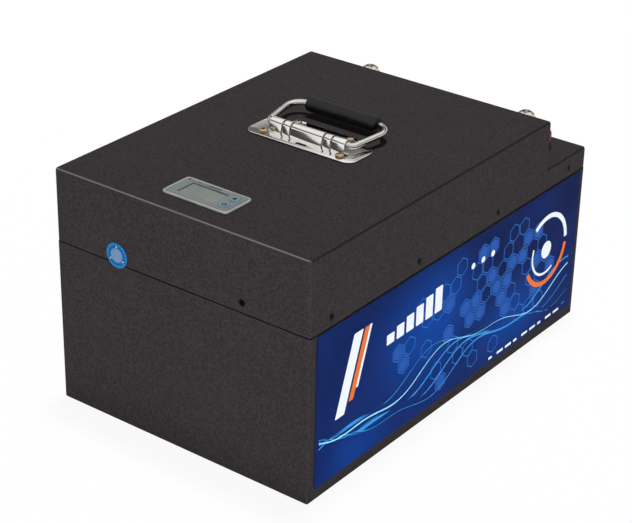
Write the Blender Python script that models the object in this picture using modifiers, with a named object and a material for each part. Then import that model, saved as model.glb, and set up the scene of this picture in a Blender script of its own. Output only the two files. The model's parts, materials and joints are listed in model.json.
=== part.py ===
"""Deep cycle battery: a steel case with a screwed lid, a folding handle, a meter and two posts.

Metres, +Z up. The origin is the middle of the underside. -Y is the front, +X the label side and
+Y the rear, where the terminals stand on a ledge that is lower than the hood.
"""

import math

import bmesh
import bpy
from mathutils import Matrix, Vector

# Gap that stays between pieces that touch
TOUCH = 0.0003

# Case and lid, folded from one gauge of sheet
CASE_WIDTH = 0.240
CASE_LENGTH = 0.372
LOWER_HEIGHT = 0.138
LEDGE_RISE = 0.018
HOOD_RISE = 0.042
LEDGE_DEPTH = 0.060
SHEET = 0.0010
BEND_RADIUS = 0.0026
CASE_BEND_RADIUS = 0.0018
BEND_SEGMENTS = 3
RIM_HEADROOM = 0.002
SEAM_GAP = 0.0010

# Lid screws and the tapped bosses drawn into the case wall
SCREW_RISE = 0.0075
SIDE_SCREW_INSET = 0.025
SIDE_SCREW_COUNT = 4
END_SCREW_SPACING = 0.118
LID_SCREW_HEAD_RADIUS = 0.0029
LID_SCREW_RADIUS = 0.0015
LID_SCREW_CONE_DEPTH = 0.0013
WALL_BOSS_HEIGHT = 0.0015
WALL_BOSS_RADIUS = 0.0030

# Side label and seam seal
LABEL_LENGTH = 0.3580
LABEL_HEIGHT = 0.1258
LABEL_BOTTOM = 0.0106
LABEL_SHIFT = 0.0004
LABEL_CORNER = 0.0012
FILM = 0.0003
SEAL_RADIUS = 0.0102
SEAL_RISE = 0.0065

# Meter in the lid
METER_SETBACK = 0.0327
METER_WIDTH = 0.0605
METER_DEPTH = 0.0302
METER_FLANGE = 0.0020
METER_LIP = 0.0024
METER_BODY_DEPTH = 0.0120
METER_WALL = 0.0014
METER_RIM = 0.0014
METER_CORNER = 0.0030
FACE_FILM = 0.0005
FACE_RECESS = 0.0006
DISPLAY_WIDTH = 0.0343
DISPLAY_DEPTH = 0.0185
DISPLAY_SHIFT = -0.0034
DISPLAY_BORDER = 0.0006
BOARD_THICKNESS = 0.0012
BOARD_RISE = 0.0020
BUTTON_RADIUS = 0.0041
BUTTON_CLEARANCE = 0.0004
BUTTON_SPACING = 0.0120
BUTTON_SHIFT = 0.0212
BUTTON_PROUD = 0.0006
BUTTON_TRAVEL = 0.0004
BUTTON_STEM_RADIUS = 0.0016
BUTTON_FLANGE = 0.0010
BUTTON_FLANGE_LIP = 0.0003
SWITCH_SIZE = 0.0050
SWITCH_HEIGHT = 0.0040
METER_PLUG_SIZE = 0.0060

# Carrying handle, measured from the hinge line of its bail
HANDLE_SHIFT = -0.0032
HANDLE_SETBACK = 0.158
HINGE_RISE = 0.0070
PLATE_WIDTH = 0.103
PLATE_DEPTH = 0.0330
PLATE_FRONT = 0.017
PLATE_CORNER = 0.0085
PLATE_SHEET = 0.0012
PLATE_TAB_WIDTH = 0.0625
PLATE_TAB_DEPTH = 0.0085
PLATE_TAB_CORNER = 0.0050
KNUCKLE_WALL = 0.0014
WALL_INSET = 0.0001
WIRE_RADIUS = 0.0025
HINGE_CLEARANCE = 0.0003
SMALL_KNUCKLE = 0.0062
SMALL_KNUCKLE_OFFSET = 0.0195
KNUCKLE_GAP = 0.0016
PLATE_SLOT_LENGTH = 0.010
PLATE_SLOT_WIDTH = 0.0036
FRONT_SCREW_SPACING = 0.0735
FRONT_SCREW_SETBACK = 0.0110
REAR_SCREW_SPACING = 0.0505
REAR_SCREW_SETBACK = 0.0185
HANDLE_SCREW_RADIUS = 0.0020
FRONT_HEAD_RADIUS = 0.0034
REAR_HEAD_RADIUS = 0.0030
PAN_HEAD_HEIGHT = 0.0026
LID_BOSS_RADIUS = 0.0040
LID_BOSS_HEIGHT = 0.0030

# Bail and its grip
BAIL_SHIFT = 0.0007
BAIL_REACH = 0.0417
BAIL_ROOT_SPAN = 0.0805
BAIL_FAR_SPAN = 0.0952
BAIL_ROOT_BEND = 0.0035
BAIL_CORNER_BEND = 0.0119
GRIP_END_GAP = 0.0003
GRIP_RADIUS = 0.0060

# Terminals on the ledge
POST_SPACING = 0.1565
POST_RADIUS = 0.0070
POST_FLANGE_RADIUS = 0.0088
POST_FLANGE = 0.0022
POST_TAIL = 0.0008
SEAL_RING = 0.0048
INSULATOR_RADIUS = 0.0222
INSULATOR_HEIGHT = 0.0072
COLLAR_RADIUS = 0.0115
COLLAR_HEIGHT = 0.0072
SPIGOT_RADIUS = 0.0092
INNER_WASHER_RADIUS = 0.0150
INNER_WASHER = 0.0026
POST_NUT_RADIUS = 0.0125
POST_NUT_HEIGHT = 0.0060
FLAT_WASHER_RADIUS = 0.0084
FLAT_WASHER = 0.0016
BOLT_RADIUS = 0.0040
BOLT_LENGTH = 0.0180
BOLT_HEAD_RADIUS = 0.0072
BOLT_HEAD_HEIGHT = 0.0052

# Cells and what holds them
CELL_COUNT = 4
CELL_LENGTH = 0.207
CELL_EDGE = 0.0015
CRADLE_BASE = 0.0030
CRADLE_END = 0.0030
DIVIDER = 0.0010
METER_HEADROOM = 0.0060
PACK_CLEARANCE = 0.0005
CELL_PAD_SPACING = 0.123
CELL_PAD_RADIUS = 0.0080
CELL_PAD = 0.0030
BUSBAR_SHEET = 0.0020
BUSBAR_WIDTH = 0.020
LUG_SHEET = 0.0024
LUG_WIDTH = 0.022
LUG_TONGUE = 0.012

# Battery management module
BMS_WIDTH = 0.150
BMS_HEIGHT = 0.085
BMS_DEPTH = 0.014
BMS_SETBACK = 0.062
BMS_RISE = 0.014
SINK_PLATE = 0.004
SINK_FOOT = 0.030
FIN_DEPTH = 0.010
FIN_SHEET = 0.0025
FIN_COUNT = 9
FIN_INSET = 0.012
PLUG_WIDTH = 0.022
PLUG_DEPTH = 0.008
PLUG_HEIGHT = 0.010

# Wiring
POWER_CABLE_RADIUS = 0.0045
HARNESS_RADIUS = 0.0024
THIN_WIRE_RADIUS = 0.0009
METER_LEAD_RADIUS = 0.0018
POWER_BEND = 0.027
HARNESS_RISE = 0.024
LEAD_BEND = 0.008
CABLE_OUTLET_INSET = 0.025
LEAD_OUTLET_INSET = 0.045

# Facets of round pieces
ROUND_STEPS = 20
SMALL_STEPS = 10
HEX_STEPS = 6
PLATE_ARC = 5
CABLE_RINGS = 15
WELD = 0.000001
FLAT_ANGLE = 0.0005
SHARP_ANGLE = math.radians(40)

# Shape of screw heads, as shares of the head's radius and height
RECESS_SHARE = 0.62
RECESS_BLADE = 0.24
CROWN_SHARE = 0.62
CROWN_LEVEL = 0.96
SHOULDER_SHARE = 0.90
DOME_SHARE = 0.45

# Angles about the hinge line, from the rear over the top
BAIL_REST_TILT = math.radians(3)
HOOK_OPENING = (math.radians(184), math.radians(338))
WALL_LEAN = math.radians(13)

# Places worked out from the sizes above
HALF_WIDTH = CASE_WIDTH / 2
FRONT = -CASE_LENGTH / 2
REAR = CASE_LENGTH / 2
HOOD_REAR = REAR - LEDGE_DEPTH
SEAM = LOWER_HEIGHT
LEDGE_TOP = SEAM + LEDGE_RISE
LID_TOP = LEDGE_TOP + HOOD_RISE
LID_UNDERSIDE = LID_TOP - SHEET
WALL_TOP = LEDGE_TOP - SHEET - RIM_HEADROOM
SHOULDER = SEAM - SEAM_GAP
NECK_HALF_WIDTH = HALF_WIDTH - SHEET - TOUCH
NECK_HALF_LENGTH = REAR - SHEET - TOUCH
INNER_HALF_WIDTH = NECK_HALF_WIDTH - SHEET
INNER_HALF_LENGTH = NECK_HALF_LENGTH - SHEET
SCREW_LEVEL = SEAM + SCREW_RISE
LID_SCREW_LENGTH = 2 * SHEET + TOUCH + WALL_BOSS_HEIGHT
WALL_CLEARANCE = WALL_BOSS_HEIGHT + PACK_CLEARANCE

HINGE_Y = FRONT + HANDLE_SETBACK
HINGE_Z = LID_TOP + HINGE_RISE
PLATE_TOP = LID_TOP + TOUCH + PLATE_SHEET
FRONT_SCREW_Y = HINGE_Y - FRONT_SCREW_SETBACK
REAR_SCREW_Y = HINGE_Y + REAR_SCREW_SETBACK
KNUCKLE_BORE = WIRE_RADIUS + HINGE_CLEARANCE
KNUCKLE_RADIUS = KNUCKLE_BORE + KNUCKLE_WALL
BAIL_X = HANDLE_SHIFT + BAIL_SHIFT
BARREL_LENGTH = BAIL_ROOT_SPAN - 2 * (BAIL_ROOT_BEND + abs(BAIL_SHIFT) + HINGE_CLEARANCE)

METER_Y = FRONT + METER_SETBACK
METER_BASE = LID_TOP + TOUCH
METER_TOP = METER_BASE + METER_FLANGE
METER_BOTTOM = LID_UNDERSIDE - METER_BODY_DEPTH
BOARD_TOP = METER_BOTTOM + METER_WALL + BOARD_RISE + BOARD_THICKNESS
FACE_BOTTOM = METER_TOP - FACE_RECESS
SWITCH_TOP = BOARD_TOP + SWITCH_HEIGHT

POST_Y = (HOOD_REAR + REAR) / 2
SEAL_RING_BASE = LEDGE_TOP + TOUCH
INSULATOR_BASE = SEAL_RING_BASE + SEAL_RING + TOUCH
INSULATOR_TOP = INSULATOR_BASE + INSULATOR_HEIGHT + COLLAR_HEIGHT
POST_TOP = INSULATOR_TOP + TOUCH + POST_FLANGE
FLAT_WASHER_BASE = POST_TOP + TOUCH
BOLT_SEAT = FLAT_WASHER_BASE + FLAT_WASHER + TOUCH
INNER_WASHER_TOP = LEDGE_TOP - SHEET - TOUCH
POST_LUG_TOP = INNER_WASHER_TOP - INNER_WASHER - TOUCH
POST_NUT_TOP = POST_LUG_TOP - LUG_SHEET - TOUCH
POST_BOTTOM = POST_NUT_TOP - POST_NUT_HEIGHT - POST_TAIL

PACK_HALF_WIDTH = INNER_HALF_WIDTH - WALL_CLEARANCE
CRADLE_WALLS = 2 * CRADLE_END + (CELL_COUNT - 1) * DIVIDER + 2 * CELL_COUNT * TOUCH
CELL_THICKNESS = (2 * PACK_HALF_WIDTH - CRADLE_WALLS) / CELL_COUNT
CELL_PITCH = CELL_THICKNESS + DIVIDER + 2 * TOUCH
CRADLE_BOTTOM = SHEET + TOUCH
CELL_BOTTOM = CRADLE_BOTTOM + CRADLE_BASE + TOUCH
CELL_TOP = METER_BOTTOM - METER_HEADROOM
CELL_MIDDLE = (CELL_TOP + CELL_BOTTOM) / 2
LEAD_LEVEL = (CELL_TOP + METER_BOTTOM) / 2
CELL_FRONT = WALL_CLEARANCE - INNER_HALF_LENGTH
CELL_FACE = CELL_FRONT + CELL_LENGTH
BUSBAR_BASE = CELL_FACE + CELL_PAD + TOUCH
PAD_LOW = CELL_MIDDLE - CELL_PAD_SPACING / 2
PAD_HIGH = CELL_MIDDLE + CELL_PAD_SPACING / 2
END_CELL_X = (CELL_COUNT - 1) / 2 * CELL_PITCH

SINK_BACK = CELL_FACE + BMS_SETBACK
BMS_FRONT = SINK_BACK + TOUCH
BMS_MIDDLE = BMS_FRONT + BMS_DEPTH / 2
BMS_BASE = SHEET + BMS_RISE
BMS_TOP = BMS_BASE + BMS_HEIGHT

# Colour, roughness and metallic value of each finish
FINISHES = {
    "black_steel": ((0.040, 0.036, 0.037), 0.62, 0.0),
    "black_screw": ((0.020, 0.020, 0.021), 0.45, 0.6),
    "zinc": ((0.60, 0.60, 0.58), 0.35, 1.0),
    "nickel": ((0.72, 0.71, 0.68), 0.18, 1.0),
    "yellow_zinc": ((0.52, 0.42, 0.28), 0.35, 1.0),
    "brass": ((0.72, 0.52, 0.22), 0.30, 1.0),
    "copper": ((0.72, 0.36, 0.22), 0.30, 1.0),
    "aluminium": ((0.66, 0.67, 0.68), 0.40, 1.0),
    "rubber": ((0.018, 0.018, 0.019), 0.75, 0.0),
    "label": ((0.010, 0.030, 0.150), 0.35, 0.0),
    "seal": ((0.10, 0.35, 0.70), 0.40, 0.0),
    "meter_grey": ((0.42, 0.44, 0.45), 0.45, 0.0),
    "face_film": ((0.17, 0.20, 0.23), 0.35, 0.0),
    "display": ((0.30, 0.34, 0.33), 0.15, 0.0),
    "button_blue": ((0.20, 0.33, 0.46), 0.40, 0.0),
    "board_green": ((0.02, 0.12, 0.05), 0.50, 0.0),
    "red_plastic": ((0.50, 0.02, 0.02), 0.40, 0.0),
    "black_plastic": ((0.020, 0.020, 0.022), 0.45, 0.0),
    "cell_blue": ((0.02, 0.10, 0.36), 0.40, 0.0),
    "laminate": ((0.30, 0.34, 0.16), 0.55, 0.0),
    "white_plastic": ((0.70, 0.70, 0.68), 0.45, 0.0),
    "red_wire": ((0.45, 0.02, 0.02), 0.50, 0.0),
    "black_wire": ((0.015, 0.015, 0.016), 0.50, 0.0),
}

# Turns that set a drawn shape upright
FLAT = (0.0, 0.0, 0.0)
SIDE_VIEW = (math.pi / 2, 0.0, math.pi / 2)
FRONT_VIEW = (math.pi / 2, 0.0, 0.0)
FACING_RIGHT = (0.0, math.pi / 2, 0.0)
FACING_LEFT = (0.0, -math.pi / 2, 0.0)
FACING_FRONT = (math.pi / 2, 0.0, 0.0)
FACING_REAR = (-math.pi / 2, 0.0, 0.0)


def clear_scene():
    for obj in list(bpy.data.objects):
        bpy.data.objects.remove(obj, do_unlink=True)


def new_collection(name):
    group = bpy.data.collections.new(name)
    bpy.context.scene.collection.children.link(group)
    return group


clear_scene()
PARTS = new_collection("deep_cycle_battery")
CUTTERS = new_collection("cutters")


def paint(obj, finish):
    """Give a piece its own Principled material."""
    colour, roughness, metallic = FINISHES[finish]
    material = bpy.data.materials.new(obj.name)
    material.use_nodes = True
    shader = material.node_tree.nodes["Principled BSDF"]
    shader.inputs["Base Color"].default_value = (*colour, 1.0)
    shader.inputs["Roughness"].default_value = roughness
    shader.inputs["Metallic"].default_value = metallic
    obj.data.materials.clear()
    obj.data.materials.append(material)
    return obj


def add_object(name, data, location=(0, 0, 0), rotation=FLAT):
    obj = bpy.data.objects.new(name, data)
    obj.location = location
    obj.rotation_euler = rotation
    PARTS.objects.link(obj)
    return obj


def from_bmesh(name, bm, location=(0, 0, 0), rotation=FLAT):
    mesh = bpy.data.meshes.new(name)
    bm.to_mesh(mesh)
    bm.free()
    return add_object(name, mesh, location, rotation)


def block(name, low, high):
    """A box between two corners, with its origin at its middle."""
    low = Vector(low)
    high = Vector(high)
    size = high - low
    bm = bmesh.new()
    bmesh.ops.create_cube(bm, size=1.0, matrix=Matrix.Diagonal((*size, 1.0)))
    return from_bmesh(name, bm, (low + high) / 2)


def rod(name, radius, length, location, rotation=FLAT, sides=SMALL_STEPS):
    """A cylinder that starts at its location and runs along its local +Z."""
    bm = bmesh.new()
    middle = Matrix.Translation((0, 0, length / 2))
    bmesh.ops.create_cone(bm, cap_ends=True, segments=sides, radius1=radius, radius2=radius, depth=length,
                          matrix=middle)
    obj = from_bmesh(name, bm, location, rotation)
    smooth(obj)
    return obj


def smooth(obj):
    obj.data.shade_smooth()
    obj.data.set_sharp_from_angle(angle=SHARP_ANGLE)


def turned(name, profile, location, rotation=FLAT, closed=False, steps=ROUND_STEPS):
    """Turn (radius, height) points about local Z; they run down the outer side."""
    points = [(radius, 0.0, height) for radius, height in profile]
    edges = [(i, i + 1) for i in range(len(points) - 1)]
    if closed:
        edges.append((len(points) - 1, 0))
    mesh = bpy.data.meshes.new(name)
    mesh.from_pydata(points, edges, [])
    obj = add_object(name, mesh, location, rotation)
    screw = obj.modifiers.new("Turn", "SCREW")
    screw.steps = steps
    screw.render_steps = steps
    screw.use_merge_vertices = True
    screw.merge_threshold = WELD
    return solid(obj)


def ring(name, outer, inner, height, location, rotation=FLAT, steps=ROUND_STEPS):
    """A flat ring that stands on its location."""
    profile = [(outer, height), (outer, 0.0), (inner, 0.0), (inner, height)]
    return turned(name, profile, location, rotation, closed=True, steps=steps)


def hex_nut(name, radius, bore, height):
    """A six-sided nut that stands on the origin."""
    nut = rod(name, radius, height, (0, 0, 0), sides=HEX_STEPS)
    cut(nut, rod(name + "_bore", bore, 3 * height, (0, 0, -height), sides=ROUND_STEPS))
    return solid(nut)


def solid(obj):
    """Turn a piece with modifiers, or a curve, into one welded mesh."""
    bpy.context.view_layer.update()
    graph = bpy.context.evaluated_depsgraph_get()
    mesh = bpy.data.meshes.new_from_object(obj.evaluated_get(graph), depsgraph=graph)
    bm = bmesh.new()
    bm.from_mesh(mesh)
    bmesh.ops.remove_doubles(bm, verts=bm.verts, dist=WELD)
    bmesh.ops.dissolve_limit(bm, angle_limit=FLAT_ANGLE, verts=bm.verts, edges=bm.edges)
    bmesh.ops.recalc_face_normals(bm, faces=bm.faces)
    bm.to_mesh(mesh)
    bm.free()
    name = obj.name
    matrix = obj.matrix_world.copy()
    bpy.data.objects.remove(obj, do_unlink=True)
    welded = add_object(name, mesh)
    welded.matrix_world = matrix
    smooth(welded)
    return welded


def prism(name, points, thickness, location=(0, 0, 0), rotation=FLAT):
    """A flat outline, drawn in its local XY plane and thickened to both sides of it."""
    curve = bpy.data.curves.new(name, "CURVE")
    curve.dimensions = "2D"
    curve.fill_mode = "BOTH"
    curve.extrude = thickness / 2
    spline = curve.splines.new("POLY")
    spline.points.add(len(points) - 1)
    for point, (x, y) in zip(spline.points, points):
        point.co = (x, y, 0.0, 1.0)
    spline.use_cyclic_u = True
    return solid(add_object(name, curve, location, rotation))


def rectangle(width, height, corner=0.0, arc=3):
    """Corners of a rectangle about the origin, rounded by short arcs where corner is set."""
    points = []
    for turn in range(4):
        sign_x = 1 if turn in (0, 3) else -1
        sign_y = 1 if turn in (0, 1) else -1
        centre = (sign_x * (width / 2 - corner), sign_y * (height / 2 - corner))
        steps = arc if corner else 0
        for step in range(steps + 1):
            angle = math.pi / 2 * (turn + (step / steps if steps else 0))
            points.append((centre[0] + corner * math.cos(angle), centre[1] + corner * math.sin(angle)))
    return points


def slot(length, width, arc=6):
    """Outline of a slot with round ends."""
    return rectangle(length, width, width / 2 - TOUCH / 10, arc)


def as_tool(obj):
    """Set a piece aside as a cutter or as stock to join."""
    PARTS.objects.unlink(obj)
    CUTTERS.objects.link(obj)
    obj.hide_render = True
    obj.display_type = "WIRE"
    return obj


def combine(obj, tool, operation):
    as_tool(tool)
    modifier = obj.modifiers.new(tool.name, "BOOLEAN")
    modifier.operation = operation
    modifier.solver = "EXACT"
    modifier.object = tool


def cut(obj, *tools):
    for tool in tools:
        combine(obj, tool, "DIFFERENCE")


def join(obj, *tools):
    for tool in tools:
        combine(obj, tool, "UNION")


def round_edges(obj, radius, segments=BEND_SEGMENTS):
    bevel = obj.modifiers.new("Bend", "BEVEL")
    bevel.width = radius
    bevel.segments = segments
    bevel.limit_method = "ANGLE"
    bevel.angle_limit = SHARP_ANGLE
    bevel.use_clamp_overlap = True


def scatter(name, piece, places):
    """One tool made of copies of a piece at several matrices."""
    source = solid(piece)
    bm = bmesh.new()
    for place in places:
        copy = source.data.copy()
        copy.transform(place @ source.matrix_world)
        bm.from_mesh(copy)
        bpy.data.meshes.remove(copy)
    bpy.data.objects.remove(source, do_unlink=True)
    return from_bmesh(name, bm)


def repeat(piece, places, finish):
    """Stand a finished piece at each named place; the copies share its mesh."""
    source = paint(solid(piece), finish)
    mesh = source.data
    bpy.data.objects.remove(source, do_unlink=True)
    for name, place in places.items():
        add_object(name, mesh).matrix_world = place


def facing(location, rotation=FLAT):
    """Matrix that stands a piece at a place, its local +Z turned outward."""
    turn = Matrix.Rotation(rotation[1], 4, "Y") @ Matrix.Rotation(rotation[0], 4, "X")
    return Matrix.Translation(location) @ turn


def cross_recess(head_radius, depth, top):
    """A cross-shaped driver recess, sunk into a head whose top is at the given height."""
    long = head_radius * RECESS_SHARE
    blade = head_radius * RECESS_BLADE / 2
    proud = top + depth
    first = block("recess_blade", (-long, -blade, top - depth), (long, blade, proud))
    second = block("recess_cross", (-blade, -long, top - depth), (blade, long, proud))
    join(first, second)
    return solid(first)


def pan_screw(name, head_radius, head_height, shank_radius, length, steps=SMALL_STEPS):
    """A pan-head screw that seats at the origin, head up, shank down."""
    dome = head_height * DOME_SHARE
    profile = [
        (0.0, head_height),
        (head_radius * CROWN_SHARE, head_height * CROWN_LEVEL),
        (head_radius * SHOULDER_SHARE, head_height - dome * DOME_SHARE),
        (head_radius, head_height - dome),
        (head_radius, 0.0),
        (shank_radius, 0.0),
        (shank_radius, -length),
        (0.0, -length),
    ]
    screw = turned(name, profile, (0, 0, 0), steps=steps)
    cut(screw, cross_recess(head_radius, head_height / 2, head_height))
    return solid(screw)


def smooth_path(points, rings):
    """Even steps along a curve that passes through the given points."""
    knots = [Vector(point) for point in points]
    ends = [2 * knots[0] - knots[1]] + knots + [2 * knots[-1] - knots[-2]]
    path = []
    for ring_index in range(rings + 1):
        along = ring_index / rings * (len(knots) - 1)
        span = min(int(along), len(knots) - 2)
        t = along - span
        a, b, c, d = ends[span:span + 4]
        path.append(((2 * b) + (c - a) * t + (2 * a - 5 * b + 4 * c - d) * t ** 2
                     + (3 * b - a - 3 * c + d) * t ** 3) / 2)
    return path


def tube(name, path, radius, resolution=2, closed=False):
    """A round wire along a list of points, with filled ends, or run round into a ring."""
    curve = bpy.data.curves.new(name, "CURVE")
    curve.dimensions = "3D"
    curve.bevel_depth = radius
    curve.bevel_resolution = resolution
    curve.use_fill_caps = True
    spline = curve.splines.new("POLY")
    spline.points.add(len(path) - 1)
    for point, place in zip(spline.points, path):
        point.co = (*place, 1.0)
    spline.use_cyclic_u = closed
    return solid(add_object(name, curve))


def rounded_route(corners, radii, steps=6):
    """Straight runs between corners in one plane, with an arc of the given radius at each corner."""
    route = [Vector(corners[0])]
    for before, corner, after, radius in zip(corners, corners[1:], corners[2:], radii):
        corner = Vector(corner)
        back = (Vector(before) - corner).normalized()
        ahead = (Vector(after) - corner).normalized()
        half = back.angle(ahead) / 2
        reach = radius / math.tan(half)
        centre = corner + (back + ahead).normalized() * (radius / math.sin(half))
        start = corner + back * reach - centre
        sweep = math.pi - 2 * half
        axis = back.cross(ahead)
        for step in range(steps + 1):
            turn = Matrix.Rotation(-sweep * step / steps, 3, axis)
            route.append(centre + turn @ start)
    route.append(Vector(corners[-1]))
    return route


# Lower case and lid

def lid_screw_places():
    """Named places of the lid screws on the skirt's outer faces."""
    pitch = (CASE_LENGTH - 2 * SIDE_SCREW_INSET) / (SIDE_SCREW_COUNT - 1)
    places = {}
    for index in range(SIDE_SCREW_COUNT):
        y = FRONT + SIDE_SCREW_INSET + pitch * index
        places[f"lid_screw_right_{index + 1}"] = facing((HALF_WIDTH, y, SCREW_LEVEL), FACING_RIGHT)
        places[f"lid_screw_left_{index + 1}"] = facing((-HALF_WIDTH, y, SCREW_LEVEL), FACING_LEFT)
    for index, x in enumerate((-END_SCREW_SPACING / 2, END_SCREW_SPACING / 2)):
        places[f"lid_screw_front_{index + 1}"] = facing((x, FRONT, SCREW_LEVEL), FACING_FRONT)
        places[f"lid_screw_rear_{index + 1}"] = facing((x, REAR, SCREW_LEVEL), FACING_REAR)
    return places


def shell_block(name, half_width, half_length, bottom, top, radius):
    """A box with bent edges; its top is cut off square."""
    spare = 4 * BEND_RADIUS
    box = block(name, (-half_width, -half_length, bottom), (half_width, half_length, top + spare))
    round_edges(box, radius)
    cut(box, block(name + "_trim", (-CASE_WIDTH, -CASE_LENGTH, top),
                   (CASE_WIDTH, CASE_LENGTH, top + 2 * spare)))
    return solid(box)


def make_lower_case():
    """A box flush with the lid; above its shoulder a neck rises inside the lid's skirt."""
    case = shell_block("lower_case", HALF_WIDTH, REAR, 0.0, SHOULDER, CASE_BEND_RADIUS)
    neck_bend = BEND_RADIUS - SHEET - TOUCH
    neck = shell_block("case_neck", NECK_HALF_WIDTH, NECK_HALF_LENGTH, SHOULDER - 2 * SHEET, WALL_TOP,
                       neck_bend)
    cavity = shell_block("case_cavity", HALF_WIDTH - SHEET, REAR - SHEET, SHEET, SHOULDER - SHEET,
                         CASE_BEND_RADIUS - SHEET)
    mouth = shell_block("case_mouth", INNER_HALF_WIDTH, INNER_HALF_LENGTH, SHOULDER - 4 * SHEET,
                        WALL_TOP + SHEET, neck_bend - SHEET)
    join(case, neck)
    cut(case, cavity, mouth)
    places = lid_screw_places().values()
    boss = rod("wall_bosses", WALL_BOSS_RADIUS, SHEET / 2 + WALL_BOSS_HEIGHT, (0, 0, -LID_SCREW_LENGTH))
    join(case, scatter("wall_bosses", boss, places))
    hole = rod("case_screw_holes", LID_SCREW_RADIUS + TOUCH, 3 * LID_SCREW_LENGTH,
               (0, 0, -2 * LID_SCREW_LENGTH))
    cut(case, scatter("case_screw_holes", hole, places))
    paint(solid(case), "black_steel")


def lid_profile(inset, bottom):
    """Side outline of the lid, front to rear, moved in by the sheet where inset is set."""
    return [
        (FRONT + inset, bottom),
        (REAR - inset, bottom),
        (REAR - inset, LEDGE_TOP - inset),
        (HOOD_REAR - inset, LEDGE_TOP - inset),
        (HOOD_REAR - inset, LID_TOP - inset),
        (FRONT + inset, LID_TOP - inset),
    ]


def make_lid():
    spare = 4 * BEND_RADIUS
    lid = prism("lid", lid_profile(0.0, SEAM - spare), CASE_WIDTH, rotation=SIDE_VIEW)
    round_edges(lid, BEND_RADIUS)
    cavity = prism("lid_cavity", lid_profile(SHEET, SEAM - 2 * spare), CASE_WIDTH - 2 * SHEET,
                   rotation=SIDE_VIEW)
    round_edges(cavity, BEND_RADIUS - SHEET)
    trim = block("lid_trim", (-CASE_WIDTH, -CASE_LENGTH, SEAM - 3 * spare), (CASE_WIDTH, CASE_LENGTH, SEAM))
    cut(lid, cavity, trim)

    cone = turned("lid_screw_holes", [
        (0.0, TOUCH),
        (LID_SCREW_HEAD_RADIUS + 2 * TOUCH, TOUCH),
        (LID_SCREW_RADIUS + 2 * TOUCH, -LID_SCREW_CONE_DEPTH),
        (LID_SCREW_RADIUS + 2 * TOUCH, -3 * SHEET),
        (0.0, -3 * SHEET),
    ], (0, 0, 0), steps=SMALL_STEPS)
    cut(lid, scatter("lid_screw_holes", cone, lid_screw_places().values()))

    through = LID_BOSS_HEIGHT + 2 * SHEET
    boss = rod("lid_bosses", LID_BOSS_RADIUS, LID_BOSS_HEIGHT + SHEET / 2,
               (0, 0, LID_UNDERSIDE - LID_BOSS_HEIGHT))
    spots = [facing((x, y, 0)) for x, y in handle_screw_spots()]
    join(lid, scatter("lid_bosses", boss, spots))
    hole = rod("handle_holes", HANDLE_SCREW_RADIUS + TOUCH, 2 * through, (0, 0, LID_TOP - through))
    cut(lid, scatter("handle_holes", hole, spots))
    for x, side in ((POST_SPACING / 2, "right"), (-POST_SPACING / 2, "left")):
        cut(lid, rod("post_hole_" + side, SPIGOT_RADIUS + TOUCH, 2 * through,
                     (x, POST_Y, LEDGE_TOP - through), sides=ROUND_STEPS))
    body = (METER_WIDTH - 2 * METER_LIP + 2 * TOUCH, METER_DEPTH - 2 * METER_LIP + 2 * TOUCH)
    cut(lid, block("meter_cutout", (-body[0] / 2, METER_Y - body[1] / 2, LID_TOP - through),
                   (body[0] / 2, METER_Y + body[1] / 2, LID_TOP + through)))
    paint(solid(lid), "black_steel")


def make_lid_screws():
    screw = turned("lid_screw", [
        (0.0, 0.0),
        (LID_SCREW_HEAD_RADIUS, 0.0),
        (LID_SCREW_RADIUS, -LID_SCREW_CONE_DEPTH),
        (LID_SCREW_RADIUS, -LID_SCREW_LENGTH),
        (0.0, -LID_SCREW_LENGTH),
    ], (0, 0, 0), steps=SMALL_STEPS)
    cut(screw, cross_recess(LID_SCREW_HEAD_RADIUS, LID_SCREW_CONE_DEPTH / 2, 0.0))
    repeat(screw, lid_screw_places(), "black_screw")


def make_side_label():
    label = prism("side_label", rectangle(LABEL_LENGTH, LABEL_HEIGHT, LABEL_CORNER), FILM,
                  (HALF_WIDTH + TOUCH + FILM / 2, LABEL_SHIFT, LABEL_BOTTOM + LABEL_HEIGHT / 2),
                  SIDE_VIEW)
    paint(label, "label")


def make_seam_seal():
    """A round sticker across the seam, on the lid's skirt and the case."""
    seal = rod("seam_seal", SEAL_RADIUS, FILM, (-END_SCREW_SPACING / 2, FRONT - TOUCH, SEAM + SEAL_RISE),
               FACING_FRONT, sides=ROUND_STEPS)
    paint(seal, "seal")


# Meter in the lid

def make_meter_housing():
    body = (METER_WIDTH - 2 * METER_LIP, METER_DEPTH - 2 * METER_LIP)
    housing = prism("meter_housing", rectangle(METER_WIDTH, METER_DEPTH, METER_CORNER), METER_FLANGE,
                    (0, METER_Y, METER_BASE + METER_FLANGE / 2))
    tray = block("meter_tray", (-body[0] / 2, METER_Y - body[1] / 2, METER_BOTTOM),
                 (body[0] / 2, METER_Y + body[1] / 2, METER_BASE + METER_FLANGE / 2))
    join(housing, tray)
    inside = (body[0] / 2 - METER_WALL, body[1] / 2 - METER_WALL)
    cavity = block("meter_cavity", (-inside[0], METER_Y - inside[1], METER_BOTTOM + METER_WALL),
                   (inside[0], METER_Y + inside[1], METER_TOP + METER_FLANGE))
    recess = block("meter_recess",
                   (-METER_WIDTH / 2 + METER_RIM, METER_Y - METER_DEPTH / 2 + METER_RIM,
                    FACE_BOTTOM - TOUCH),
                   (METER_WIDTH / 2 - METER_RIM, METER_Y + METER_DEPTH / 2 - METER_RIM,
                    METER_TOP + METER_FLANGE))
    lead_hole = block("meter_lead_hole",
                      (-METER_PLUG_SIZE / 2, METER_Y - METER_PLUG_SIZE / 2, METER_BOTTOM - METER_WALL),
                      (METER_PLUG_SIZE / 2, METER_Y + METER_PLUG_SIZE / 2,
                       METER_BOTTOM + 2 * METER_WALL))
    cut(housing, cavity, recess, lead_hole)
    paint(solid(housing), "meter_grey")


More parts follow.
